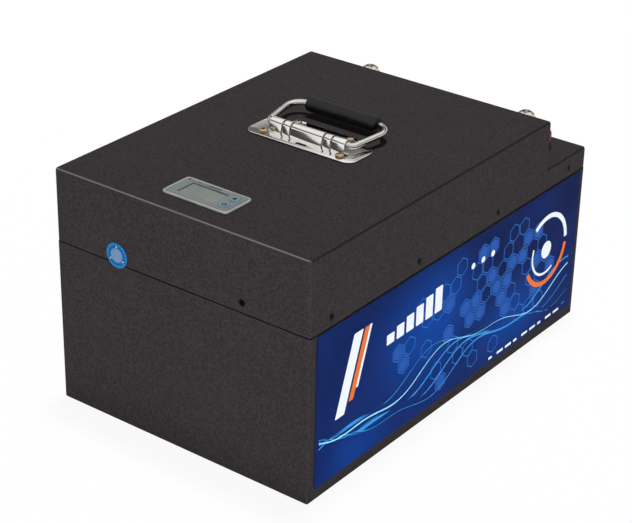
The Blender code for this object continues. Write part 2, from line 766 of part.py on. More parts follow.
def button_spots():
    return {
        "scroll": (BUTTON_SHIFT, METER_Y + BUTTON_SPACING / 2),
        "select": (BUTTON_SHIFT, METER_Y - BUTTON_SPACING / 2),
    }


def make_meter_face():
    size = (METER_WIDTH - 2 * METER_RIM - 2 * TOUCH, METER_DEPTH - 2 * METER_RIM - 2 * TOUCH)
    face = prism("meter_face", rectangle(*size), FACE_FILM, (0, METER_Y, FACE_BOTTOM + FACE_FILM / 2))
    window = (DISPLAY_SHIFT - DISPLAY_WIDTH / 2, METER_Y - DISPLAY_DEPTH / 2)
    cut(face, block("meter_window", (*window, FACE_BOTTOM - FACE_FILM),
                    (window[0] + DISPLAY_WIDTH, window[1] + DISPLAY_DEPTH, METER_TOP + FACE_FILM)))
    for name, (x, y) in button_spots().items():
        cut(face, rod(f"{name}_hole", BUTTON_RADIUS + BUTTON_CLEARANCE, 4 * FACE_FILM,
                      (x, y, FACE_BOTTOM - FACE_FILM), sides=ROUND_STEPS))
    paint(solid(face), "face_film")


def make_meter_inside():
    body = (METER_WIDTH - 2 * (METER_LIP + METER_WALL + TOUCH),
            METER_DEPTH - 2 * (METER_LIP + METER_WALL + TOUCH))
    board = block("meter_board", (-body[0] / 2, METER_Y - body[1] / 2, BOARD_TOP - BOARD_THICKNESS),
                  (body[0] / 2, METER_Y + body[1] / 2, BOARD_TOP))
    half = SWITCH_SIZE / 2
    for name, (x, y) in button_spots().items():
        join(board, block(f"{name}_switch", (x - half, y - half, BOARD_TOP - BOARD_THICKNESS / 2),
                          (x + half, y + half, SWITCH_TOP)))
    half = METER_PLUG_SIZE / 2 - TOUCH
    join(board, block("meter_socket", (-half, METER_Y - half, LEAD_LEVEL - METER_LEAD_RADIUS),
                      (half, METER_Y + half, BOARD_TOP - BOARD_THICKNESS / 2)))
    paint(solid(board), "board_green")

    half_x = DISPLAY_WIDTH / 2 + DISPLAY_BORDER
    half_y = DISPLAY_DEPTH / 2 + DISPLAY_BORDER
    display = block("meter_display", (DISPLAY_SHIFT - half_x, METER_Y - half_y, BOARD_TOP + TOUCH),
                    (DISPLAY_SHIFT + half_x, METER_Y + half_y, FACE_BOTTOM - TOUCH))
    paint(display, "display")


def make_buttons():
    """Caps that stand out of the face, held in by a flange behind it."""
    top = FACE_BOTTOM + FACE_FILM + BUTTON_PROUD
    edge = BUTTON_PROUD / 2
    flange_top = FACE_BOTTOM - TOUCH - top
    flange_radius = BUTTON_RADIUS + BUTTON_CLEARANCE + BUTTON_FLANGE_LIP
    stem_end = SWITCH_TOP + BUTTON_TRAVEL + TOUCH - top
    for name, (x, y) in button_spots().items():
        button = turned(f"{name}_button", [
            (0.0, 0.0),
            (BUTTON_RADIUS - edge, 0.0),
            (BUTTON_RADIUS, -edge),
            (BUTTON_RADIUS, flange_top),
            (flange_radius, flange_top),
            (flange_radius, flange_top - BUTTON_FLANGE),
            (BUTTON_STEM_RADIUS, flange_top - BUTTON_FLANGE),
            (BUTTON_STEM_RADIUS, stem_end),
            (0.0, stem_end),
        ], (x, y, top))
        paint(button, "button_blue")


# Carrying handle

def handle_screw_spots():
    front = [(HANDLE_SHIFT + side * FRONT_SCREW_SPACING / 2, FRONT_SCREW_Y) for side in (-1, 1)]
    rear = [(HANDLE_SHIFT + side * REAR_SCREW_SPACING / 2, REAR_SCREW_Y) for side in (-1, 1)]
    return front + rear


def knuckle_spans():
    """Where the long hooks and the small closed knuckles lie along the hinge line."""
    end = BARREL_LENGTH / 2
    inner = SMALL_KNUCKLE_OFFSET - SMALL_KNUCKLE / 2
    outer = SMALL_KNUCKLE_OFFSET + SMALL_KNUCKLE / 2
    hooks = [
        (-end, -outer - KNUCKLE_GAP),
        (KNUCKLE_GAP - inner, inner - KNUCKLE_GAP),
        (outer + KNUCKLE_GAP, end),
    ]
    return hooks, [(-outer, -inner), (inner, outer)]


def along_hinge(name, radius, start, end):
    """A round bar along the hinge line."""
    return rod(name, radius, end - start, (HANDLE_SHIFT + start, HINGE_Y, HINGE_Z), FACING_RIGHT,
               sides=ROUND_STEPS)


def sector(name, opening, start, end):
    """A wedge about the hinge line that opens a rolled hook between two angles."""
    first, last = opening
    reach = 2 * KNUCKLE_RADIUS
    points = [(0.0, 0.0)]
    for step in range(SMALL_STEPS + 1):
        angle = first + (last - first) * step / SMALL_STEPS
        points.append((reach * math.cos(angle), reach * math.sin(angle)))
    middle = HANDLE_SHIFT + (start + end) / 2
    return prism(name, points, end - start, (middle, HINGE_Y, HINGE_Z), SIDE_VIEW)


def barrel_wall(name, start, end):
    """Sheet that rises from the plate in front of the hinge line and leans back into the barrel's round."""
    drop = PLATE_TOP - PLATE_SHEET / 2 - HINGE_Z
    sides = []
    for radius in (KNUCKLE_RADIUS - WALL_INSET, KNUCKLE_BORE + 2 * WALL_INSET):
        y = -radius * math.cos(WALL_LEAN)
        z = radius * math.sin(WALL_LEAN)
        sides.append([(y, z), (y - (z - drop) * math.tan(WALL_LEAN), drop)])
    middle = HANDLE_SHIFT + (start + end) / 2
    return prism(name, sides[0] + sides[1][::-1], end - start, (middle, HINGE_Y, HINGE_Z), SIDE_VIEW)


def make_handle_plate():
    """A flat plate with a rear tab and a rolled barrel of long hooks and two closed knuckles.

    A wall rises to each of them from the plate. The hooks are open below, and the bail's legs swing
    past the barrel's ends.
    """
    plate = prism("handle_plate", rectangle(PLATE_WIDTH, PLATE_DEPTH, PLATE_CORNER, PLATE_ARC), PLATE_SHEET,
                  (HANDLE_SHIFT, HINGE_Y - PLATE_FRONT + PLATE_DEPTH / 2, PLATE_TOP - PLATE_SHEET / 2))
    tab = rectangle(PLATE_TAB_WIDTH, 2 * PLATE_TAB_DEPTH, PLATE_TAB_CORNER, PLATE_ARC)
    join(plate, prism("plate_tab", tab, PLATE_SHEET,
                      (HANDLE_SHIFT, HINGE_Y - PLATE_FRONT + PLATE_DEPTH, PLATE_TOP - PLATE_SHEET / 2)))
    hooks, knuckles = knuckle_spans()
    spare = KNUCKLE_GAP / 2
    for index, (start, end) in enumerate(hooks + knuckles):
        wall = barrel_wall(f"barrel_wall_{index}", start, end)
        roll = along_hinge(f"barrel_roll_{index}", KNUCKLE_RADIUS, start, end)
        if index < len(hooks):
            cut(roll, sector(f"hook_opening_{index}", HOOK_OPENING, start - spare, end + spare))
        join(plate, wall, solid(roll))
    cut(plate, along_hinge("barrel_bore", KNUCKLE_BORE, -BARREL_LENGTH, BARREL_LENGTH))
    cut(plate, prism("plate_slot", slot(PLATE_SLOT_LENGTH, PLATE_SLOT_WIDTH), 4 * PLATE_SHEET,
                     (HANDLE_SHIFT, FRONT_SCREW_Y, PLATE_TOP)))
    for index, (x, y) in enumerate(handle_screw_spots()):
        cut(plate, rod(f"plate_hole_{index}", HANDLE_SCREW_RADIUS + TOUCH, 4 * PLATE_SHEET,
                       (x, y, PLATE_TOP - 2 * PLATE_SHEET)))
    paint(solid(plate), "nickel")


def make_handle_screws():
    spots = handle_screw_spots()
    tip = LID_UNDERSIDE - LID_BOSS_HEIGHT
    rows = (
        ("front", spots[:2], FRONT_HEAD_RADIUS),
        ("rear", spots[2:], REAR_HEAD_RADIUS),
    )
    seat = PLATE_TOP + TOUCH
    for row, row_spots, head_radius in rows:
        screw = pan_screw(f"{row}_screw", head_radius, PAN_HEAD_HEIGHT, HANDLE_SCREW_RADIUS, seat - tip)
        places = {f"handle_{row}_screw_{index + 1}": facing((x, y, seat))
                  for index, (x, y) in enumerate(row_spots)}
        repeat(screw, places, "yellow_zinc")


def make_bail():
    """The bail lies back over the lid at rest, on an empty at its hinge line."""
    hinge = bpy.data.objects.new("bail_hinge", None)
    hinge.location = (BAIL_X, HINGE_Y, HINGE_Z)
    hinge.rotation_euler = (BAIL_REST_TILT, 0.0, 0.0)
    PARTS.objects.link(hinge)

    root = BAIL_ROOT_SPAN / 2
    far = BAIL_FAR_SPAN / 2
    corners = [(0, 0, 0), (-root, 0, 0), (-far, BAIL_REACH, 0), (far, BAIL_REACH, 0), (root, 0, 0),
               (0, 0, 0)]
    radii = [BAIL_ROOT_BEND, BAIL_CORNER_BEND, BAIL_CORNER_BEND, BAIL_ROOT_BEND]
    wire = tube("bail_wire", rounded_route(corners, radii)[:-1], WIRE_RADIUS, resolution=3, closed=True)
    wire.parent = hinge
    paint(wire, "nickel")

    edge = GRIP_RADIUS / 8
    lean = math.atan2(far - root, BAIL_REACH)
    half = far - BAIL_CORNER_BEND / math.tan(math.pi / 4 - lean / 2) - GRIP_END_GAP
    bore = WIRE_RADIUS + TOUCH
    grip = turned("bail_grip", [
        (GRIP_RADIUS - edge, half), (GRIP_RADIUS, half - edge),
        (GRIP_RADIUS, edge - half), (GRIP_RADIUS - edge, -half),
        (bore, -half), (bore, half),
    ], (0, BAIL_REACH, 0), FACING_RIGHT, closed=True)
    grip.parent = hinge
    paint(grip, "rubber")


# Terminals

def post_places(piece, level):
    """A named place for a piece on each post's axis."""
    return {
        f"positive_{piece}": facing((POST_SPACING / 2, POST_Y, level)),
        f"negative_{piece}": facing((-POST_SPACING / 2, POST_Y, level)),
    }


def make_insulator(name, x, finish):
    edge = COLLAR_HEIGHT / 4
    spigot_bottom = INNER_WASHER_TOP - INSULATOR_BASE + TOUCH
    bore = POST_RADIUS + TOUCH
    insulator = turned(name, [
        (COLLAR_RADIUS, INSULATOR_HEIGHT + COLLAR_HEIGHT),
        (COLLAR_RADIUS, INSULATOR_HEIGHT),
        (INSULATOR_RADIUS - edge, INSULATOR_HEIGHT),
        (INSULATOR_RADIUS, INSULATOR_HEIGHT - edge),
        (INSULATOR_RADIUS, 0.0),
        (SPIGOT_RADIUS, 0.0),
        (SPIGOT_RADIUS, spigot_bottom),
        (bore, spigot_bottom),
        (bore, INSULATOR_HEIGHT + COLLAR_HEIGHT),
    ], (x, POST_Y, INSULATOR_BASE), closed=True)
    paint(insulator, finish)


def make_posts():
    """Two brass posts, each with a blind hole for its bolt."""
    height = POST_TOP - POST_BOTTOM
    hole = BOLT_RADIUS + TOUCH
    hole_floor = BOLT_SEAT - BOLT_LENGTH - TOUCH - POST_BOTTOM
    post = turned("post", [
        (0.0, hole_floor),
        (hole, hole_floor),
        (hole, height),
        (POST_FLANGE_RADIUS, height),
        (POST_FLANGE_RADIUS, height - POST_FLANGE),
        (POST_RADIUS, height - POST_FLANGE),
        (POST_RADIUS, 0.0),
        (0.0, 0.0),
    ], (0, 0, 0))
    repeat(post, post_places("post", POST_BOTTOM), "brass")


def make_post_hardware():
    seal = ring("seal", INSULATOR_RADIUS, SPIGOT_RADIUS + TOUCH, SEAL_RING, (0, 0, 0))
    repeat(seal, post_places("post_seal", SEAL_RING_BASE), "rubber")
    inner = ring("inner_washer", INNER_WASHER_RADIUS, POST_RADIUS + TOUCH, INNER_WASHER, (0, 0, 0))
    repeat(inner, post_places("inner_washer", INNER_WASHER_TOP - INNER_WASHER), "white_plastic")
    flat = ring("flat_washer", FLAT_WASHER_RADIUS, BOLT_RADIUS + TOUCH, FLAT_WASHER, (0, 0, 0))
    repeat(flat, post_places("flat_washer", FLAT_WASHER_BASE), "zinc")
    bolt = pan_screw("bolt", BOLT_HEAD_RADIUS, BOLT_HEAD_HEIGHT, BOLT_RADIUS, BOLT_LENGTH, ROUND_STEPS)
    repeat(bolt, post_places("bolt", BOLT_SEAT), "nickel")
    nut = hex_nut("post_nut", POST_NUT_RADIUS, POST_RADIUS + TOUCH, POST_NUT_HEIGHT)
    repeat(nut, post_places("post_nut", POST_NUT_TOP - POST_NUT_HEIGHT), "brass")


# Cell pack

def cell_x(index):
    return index * CELL_PITCH - END_CELL_X


def make_cells():
    """Prismatic cells on their sides, with their terminal pads facing the rear."""
    for index in range(CELL_COUNT):
        x = cell_x(index)
        half = CELL_THICKNESS / 2
        cell = block(f"cell_{index + 1}", (x - half, CELL_FRONT, CELL_BOTTOM),
                     (x + half, CELL_FACE, CELL_TOP))
        round_edges(cell, CELL_EDGE, segments=2)
        for level, z in (("low", PAD_LOW), ("high", PAD_HIGH)):
            join(cell, rod(f"pad_{level}_{index}", CELL_PAD_RADIUS, CELL_PAD + CELL_EDGE,
                           (x, CELL_FACE - CELL_EDGE, z), FACING_REAR, sides=ROUND_STEPS))
        paint(solid(cell), "cell_blue")


def make_cell_cradle():
    """One insulating cradle: a base, two end walls and a thin divider between each two cells."""
    slots = [cell_x(index) for index in range(CELL_COUNT)]
    half = CELL_THICKNESS / 2 + TOUCH
    floor = CRADLE_BOTTOM + CRADLE_BASE
    outline = [(-PACK_HALF_WIDTH, CRADLE_BOTTOM), (PACK_HALF_WIDTH, CRADLE_BOTTOM),
               (PACK_HALF_WIDTH, CELL_TOP)]
    for x in reversed(slots):
        outline += [(x + half, CELL_TOP), (x + half, floor), (x - half, floor), (x - half, CELL_TOP)]
    outline.append((-PACK_HALF_WIDTH, CELL_TOP))
    cradle = prism("cell_cradle", outline, CELL_LENGTH, (0, CELL_FRONT + CELL_LENGTH / 2, 0), FRONT_VIEW)
    paint(cradle, "laminate")


def busbar_spots():
    """Neighbouring cells are joined in turn at their low and high pads."""
    return [((cell_x(i) + cell_x(i + 1)) / 2, PAD_LOW if i % 2 == 0 else PAD_HIGH)
            for i in range(CELL_COUNT - 1)]


def make_busbars():
    outline = slot(CELL_PITCH + BUSBAR_WIDTH, BUSBAR_WIDTH)
    for index, (x, z) in enumerate(busbar_spots()):
        bar = prism(f"busbar_{index + 1}", outline, BUSBAR_SHEET,
                    (x, BUSBAR_BASE + BUSBAR_SHEET / 2, z), FRONT_VIEW)
        paint(bar, "copper")


# Battery management module

def make_bms():
    body = block("bms_module", (-BMS_WIDTH / 2, BMS_FRONT, BMS_BASE),
                 (BMS_WIDTH / 2, BMS_FRONT + BMS_DEPTH, BMS_TOP))
    round_edges(body, CELL_EDGE, segments=2)
    paint(solid(body), "black_plastic")

    floor = SHEET + TOUCH
    face = SINK_BACK - SINK_PLATE
    profile = [
        (SINK_BACK, floor), (SINK_BACK, BMS_TOP), (face, BMS_TOP),
        (face, floor + SINK_PLATE), (face - SINK_FOOT, floor + SINK_PLATE), (face - SINK_FOOT, floor),
    ]
    sink = prism("bms_heat_sink", profile, BMS_WIDTH, rotation=SIDE_VIEW)
    pitch = (BMS_WIDTH - 2 * FIN_INSET) / (FIN_COUNT - 1)
    for index in range(FIN_COUNT):
        x = FIN_INSET - BMS_WIDTH / 2 + pitch * index
        join(sink, block(f"fin_{index}", (x - FIN_SHEET / 2, face - FIN_DEPTH, BMS_BASE),
                         (x + FIN_SHEET / 2, face + SINK_PLATE / 2, BMS_TOP - SINK_PLATE)))
    paint(solid(sink), "aluminium")


# Wiring

def lug(name, hole_radius):
    """A flat cable lug: a ring end round the origin and a tongue along local +Y."""
    length = LUG_WIDTH + LUG_TONGUE
    plate = prism(name, rectangle(LUG_WIDTH, length, LUG_WIDTH / 4), LUG_SHEET,
                  (0, (length - LUG_WIDTH) / 2, LUG_SHEET / 2))
    if hole_radius:
        cut(plate, rod(name + "_hole", hole_radius, 4 * LUG_SHEET, (0, 0, -LUG_SHEET), sides=ROUND_STEPS))
    return solid(plate)


def pole_lug(name, x):
    """The lug welded to a free cell pad; its tongue points down."""
    plate = lug(name, 0.0)
    plate.matrix_world = facing((x, BUSBAR_BASE, PAD_HIGH), FACING_REAR) @ plate.matrix_world
    return plate


def post_lug(name, x):
    """The lug round a terminal post; its tongue points to the front."""
    plate = lug(name, POST_RADIUS + TOUCH)
    turn = Matrix.Rotation(math.pi, 4, "Z")
    plate.matrix_world = facing((x, POST_Y, POST_LUG_TOP - LUG_SHEET)) @ turn @ plate.matrix_world
    return plate


def pole_run(x):
    """First points of a cable that leaves a pole lug downwards."""
    y = BUSBAR_BASE + LUG_SHEET
    tongue = PAD_HIGH - LUG_WIDTH / 2 - LUG_TONGUE / 2
    return [(x, y, tongue), (x, y, tongue - LUG_TONGUE), (x, y + POWER_BEND / 4, tongue - POWER_BEND)]


def post_run(x):
    """Last points of a cable that reaches a post lug from the front."""
    z = POST_LUG_TOP - LUG_SHEET
    tongue = POST_Y - LUG_WIDTH / 2 - LUG_TONGUE / 2
    return [(x, tongue - POWER_BEND, z - POWER_BEND / 4), (x, tongue - LUG_TONGUE, z), (x, tongue, z)]


def make_power_cables():
    """Plus pole to plus post, minus pole to the module, and module to minus post."""
    post_x = POST_SPACING / 2
    plus = tube("plus_cable", smooth_path(pole_run(END_CELL_X) + post_run(post_x), CABLE_RINGS),
                POWER_CABLE_RADIUS)
    join(plus, pole_lug("plus_pole_lug", END_CELL_X), post_lug("plus_post_lug", post_x))
    paint(solid(plus), "red_wire")

    side = BMS_WIDTH / 2 + TOUCH
    inlet_z = (BMS_BASE + BMS_TOP) / 2
    route = pole_run(-END_CELL_X) + [
        (-side - POWER_BEND, BMS_MIDDLE - POWER_BEND, inlet_z + POWER_BEND / 4),
        (-side - POWER_BEND / 2, BMS_MIDDLE, inlet_z),
        (-side - POWER_BEND / 4, BMS_MIDDLE, inlet_z),
        (-side, BMS_MIDDLE, inlet_z),
    ]
    minus = tube("minus_cable", smooth_path(route, CABLE_RINGS), POWER_CABLE_RADIUS)
    join(minus, pole_lug("minus_pole_lug", -END_CELL_X))
    paint(solid(minus), "black_wire")

    outlet = (CABLE_OUTLET_INSET - BMS_WIDTH / 2, BMS_MIDDLE)
    route = [(*outlet, BMS_TOP + TOUCH), (*outlet, BMS_TOP + POWER_BEND / 4),
             (*outlet, BMS_TOP + POWER_BEND / 2)] + post_run(-post_x)
    load = tube("load_cable", smooth_path(route, CABLE_RINGS), POWER_CABLE_RADIUS)
    join(load, post_lug("minus_post_lug", -post_x))
    paint(solid(load), "black_wire")


def make_balance_harness():
    """A plug on the module, a short trunk and a thin wire to each cell joint."""
    base = BMS_TOP + TOUCH
    plug = block("balance_harness", (-PLUG_WIDTH / 2, BMS_MIDDLE - PLUG_DEPTH / 2, base),
                 (PLUG_WIDTH / 2, BMS_MIDDLE + PLUG_DEPTH / 2, base + PLUG_HEIGHT))
    split = base + PLUG_HEIGHT + HARNESS_RISE
    join(plug, rod("harness_trunk", HARNESS_RADIUS, HARNESS_RISE + PLUG_HEIGHT / 2,
                   (0, BMS_MIDDLE, base + PLUG_HEIGHT / 2)))
    for index, (x, z) in enumerate(busbar_spots()):
        end = BUSBAR_BASE + BUSBAR_SHEET + TOUCH + THIN_WIRE_RADIUS
        route = [
            (0, BMS_MIDDLE, split - HARNESS_RISE / 2),
            (0, BMS_MIDDLE - HARNESS_RADIUS / 2, split + index * HARNESS_RADIUS),
            (x / 2, (BMS_MIDDLE + end) / 2, (split + z) / 2 + HARNESS_RISE),
            (x, end + HARNESS_RISE / 2, z),
            (x, end, z),
        ]
        join(plug, tube(f"harness_wire_{index}", smooth_path(route, CABLE_RINGS), THIN_WIRE_RADIUS))
    paint(solid(plug), "white_plastic")


def make_meter_lead():
    """A thin lead from the meter's socket, over the cells and down to the module."""
    outlet = BMS_WIDTH / 2 - LEAD_OUTLET_INSET
    start = METER_Y + METER_PLUG_SIZE / 2 + TOUCH
    route = [
        (0, start, LEAD_LEVEL),
        (0, start + LEAD_BEND, LEAD_LEVEL),
        (0, start + 4 * LEAD_BEND, LEAD_LEVEL),
        (outlet / 2, CELL_FACE - CELL_LENGTH / 4, LEAD_LEVEL),
        (outlet, CELL_FACE + LEAD_BEND, LEAD_LEVEL),
        (outlet, BMS_MIDDLE - LEAD_BEND, (LEAD_LEVEL + BMS_TOP) / 2),
        (outlet, BMS_MIDDLE, BMS_TOP + 3 * LEAD_BEND),
        (outlet, BMS_MIDDLE, BMS_TOP + LEAD_BEND),
        (outlet, BMS_MIDDLE, BMS_TOP + TOUCH),
    ]
    lead = tube("meter_lead", smooth_path(route, 2 * CABLE_RINGS), METER_LEAD_RADIUS)
    paint(lead, "black_wire")


make_lower_case()
make_lid()
make_lid_screws()
make_side_label()
make_seam_seal()
make_meter_housing()
make_meter_face()
make_meter_inside()
make_buttons()
make_handle_plate()
make_handle_screws()
make_bail()
make_insulator("positive_insulator", POST_SPACING / 2, "red_plastic")
make_insulator("negative_insulator", -POST_SPACING / 2, "black_plastic")
make_posts()
make_post_hardware()
make_cells()
make_cell_cradle()
make_busbars()
make_bms()
make_power_cables()
make_balance_harness()
make_meter_lead()
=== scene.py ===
"""Looks of the deep cycle battery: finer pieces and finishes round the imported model.

Metres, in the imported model's frame: +Z up, -Y the front, +X the label side, +Y the terminals.
"""

import json
import math
import random

import bmesh
import bpy
from mathutils import Matrix, Vector


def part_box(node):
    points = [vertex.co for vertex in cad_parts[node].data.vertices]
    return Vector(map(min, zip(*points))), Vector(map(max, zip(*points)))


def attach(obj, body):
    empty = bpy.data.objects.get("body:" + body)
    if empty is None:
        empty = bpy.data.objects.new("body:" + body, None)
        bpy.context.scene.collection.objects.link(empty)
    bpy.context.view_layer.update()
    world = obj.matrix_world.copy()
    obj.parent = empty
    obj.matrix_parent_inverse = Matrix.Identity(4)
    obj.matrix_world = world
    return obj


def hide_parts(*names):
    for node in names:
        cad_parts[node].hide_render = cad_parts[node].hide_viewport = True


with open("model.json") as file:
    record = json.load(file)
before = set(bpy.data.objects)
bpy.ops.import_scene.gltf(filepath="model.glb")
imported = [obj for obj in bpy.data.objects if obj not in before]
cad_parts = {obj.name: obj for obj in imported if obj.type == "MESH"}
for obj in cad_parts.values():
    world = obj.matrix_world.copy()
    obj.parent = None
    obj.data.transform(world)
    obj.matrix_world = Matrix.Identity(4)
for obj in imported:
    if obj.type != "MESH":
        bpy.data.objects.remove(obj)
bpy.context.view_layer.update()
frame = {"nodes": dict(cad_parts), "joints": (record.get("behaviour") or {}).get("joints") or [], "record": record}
NODES = frame["nodes"]
RECORD = frame["record"]

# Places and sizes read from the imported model
LID_LOW, LID_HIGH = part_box("lid")
CASE_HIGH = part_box("lower_case")[1]
LABEL_LOW, LABEL_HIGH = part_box("side_label")
SEAL_LOW, SEAL_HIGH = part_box("seam_seal")
METER_LOW, METER_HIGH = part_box("meter_housing")
FACE_LOW, FACE_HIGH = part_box("meter_face")
DISPLAY_LOW, DISPLAY_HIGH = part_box("meter_display")
PLATE_LOW, PLATE_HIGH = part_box("handle_plate")
HINGE = Vector(next(joint for joint in frame["joints"] if joint["name"] == "bail_swing")["pos_m"])

# Sheet metal of the case; the spare is what trimming tools reach past it
SHEET = 0.0010
SPARE = 0.02
LID_BEND = 0.0026
CASE_BEND = 0.0018
BEND_STEPS = 8
LEDGE_TOP = 0.156
HOOD_REAR = 0.126
SHOULDER = 0.137
NECK_INSET = 0.0013
POST_HOLE_RADIUS = 0.0095
POST_HOLE_DEPTH = 0.004

# Lid screws
SCREW_RADIUS = 0.0029
SCREW_SHANK = 0.0015
SCREW_CONE = 0.0014
SCREW_LENGTH = 0.0036
SINK_PLAY = 0.0005
SINK_SHANK = 0.0018
SINK_TOP, SINK_FLOOR = 0.0002, -0.004
RECESS_ARM, RECESS_HALF, RECESS_DEPTH = 0.0019, 0.00036, 0.0009

# Meter; a key's flange has a radius, a bottom and a top
METER_SEAT = 0.1983
METER_RIM = 0.0014
METER_CORNER, OPENING_CORNER = 0.0030, 0.0016
METER_HOLE_INSET = 0.0021
TRAY_INSET = 0.0024
TRAY_WALL = 0.0014
LEAD_HOLE_HALF = 0.003
WINDOW_INSET = 0.0006
WINDOW_LIP = 0.0004
BUTTON_HOLE_RADIUS = 0.00425
BUTTON_RADIUS = 0.0041
BUTTON_FLANGE = (0.0048, 0.1984, 0.1994)
BUTTON_STEM = 0.0016
KEY_RING = (0.0034, 0.0029)
SIGN_RADIUS, SIGN_INNER = 0.0019, 0.0012
TICK_INSET, TICK_START, TICK_PITCH = 0.0030, 0.0056, 0.00125
TICKS, FINE_TICKS = 22, 13
FINE_TICK, BROAD_TICK = (0.0005, 0.0011), (0.0009, 0.0017)
SPOT_RADIUS = 0.0009

# Handle: angles run from the rear over the top of the hinge line, in degrees;
# screws have a head's height, a shank's radius and a length, and each row a head's radius
PLATE_SHEET = 0.0012
PLATE_TOP = 0.1995
PLATE_CORNER = 0.0085
PLATE_DEPTH = 0.0330
TAB_HALF = 0.03125
TAB_CORNER = 0.0050
SLOT_HALF, SLOT_ROUND = (0.005, 0.0018), 0.0017
KNUCKLE_BORE = 0.0028
KNUCKLE_RADIUS = 0.0042
HOOK_LIPS = (-22, 180)
WALL_LEAN = 13
BARREL_HALF = 0.03575
SMALL_KNUCKLE = (0.0164, 0.0226)
KNUCKLE_GAP = 0.0016
LEG_ROOT = 0.04025
LEG_FAR = 0.0476
BAIL_REACH = 0.0417
BAIL_ROOT_BEND = 0.0035
BAIL_CORNER_BEND = 0.0119
BAIL_TILT = math.radians(3)
WIRE_RADIUS = 0.0025
GRIP_RADIUS = 0.0060
GRIP_WAIST = 0.00015
GRIP_RIM, GRIP_TAPER = 0.004, 0.006
GRIP_PLAY = 0.0002
HANDLE_SCREWS = {"front": 0.0034, "rear": 0.0030}
HANDLE_SCREW_SIZES = (0.0026, 0.0020, 0.0055)
HEAD_GAP = 0.0003

# Terminals; a bolt has a head's radius and height, a shank's radius and a length
INSULATOR_BASE = 0.1614
INSULATOR_SHOULDER = 0.1686
INSULATOR_TOP = 0.1758
INSULATOR_COLLAR = 0.0115
INSULATOR_SPIGOT = 0.0092
INSULATOR_BORE = 0.0073
GASKET_BORE = 0.0095
POST_RADIUS = 0.0070
POST_HEAD_RADIUS = 0.0088
POST_HEAD = 0.0022
POST_THREAD = 0.0043
THREAD_FLOOR = 0.016
WASHER_RADIUS = 0.0084
BOLT_SIZES = (0.0072, 0.0052, 0.0040, 0.0180)

# Label: places along the case and up it
HEX_PITCH = 0.0150
HEX_START = (0.012, 0.016)
HEX_MIDDLE, HEX_REACH = (0.035, 0.075), (0.115, 0.062)
WAVE_STEPS, WAVE_STEP = 116, 0.003
SLASH_TOP = 0.120
SLASH_LEAN = 0.34
LEVEL_START, LEVEL_BASE = -0.094, 0.092
LEVEL_WIDTH, LEVEL_LOWEST, LEVEL_RISE = 0.0095, 0.0085, 0.0026
DIAL_MIDDLE = (0.132, 0.082)
DOT_LEVEL = 0.112
DASH_START, DASH_LOW, DASH_HIGH = 0.052, 0.0135, 0.0158
MARK_PITCH = 0.0125

# Fine shape
ROUND = 64
SMALL_ROUND = 40
PRINT = 0.00006
SMOOTH_ANGLE = math.radians(32)
NEAR = 1e-7


def srgb(red, green, blue):
    """Linear colour of an 8-bit screen colour."""
    return tuple(
        value / 12.92 if value <= 0.04045 else ((value + 0.055) / 1.055) ** 2.4
        for value in (red / 255, green / 255, blue / 255)
    )


# Finishes

def set_stops(ramp, stops):
    """Give a colour ramp its (place, colour) stops."""
    elements = ramp.color_ramp.elements
    while len(elements) < len(stops):
        elements.new(0.5)
    for element, (place, colour) in zip(elements, stops):
        element.position = place
        element.color = (*colour, 1.0)


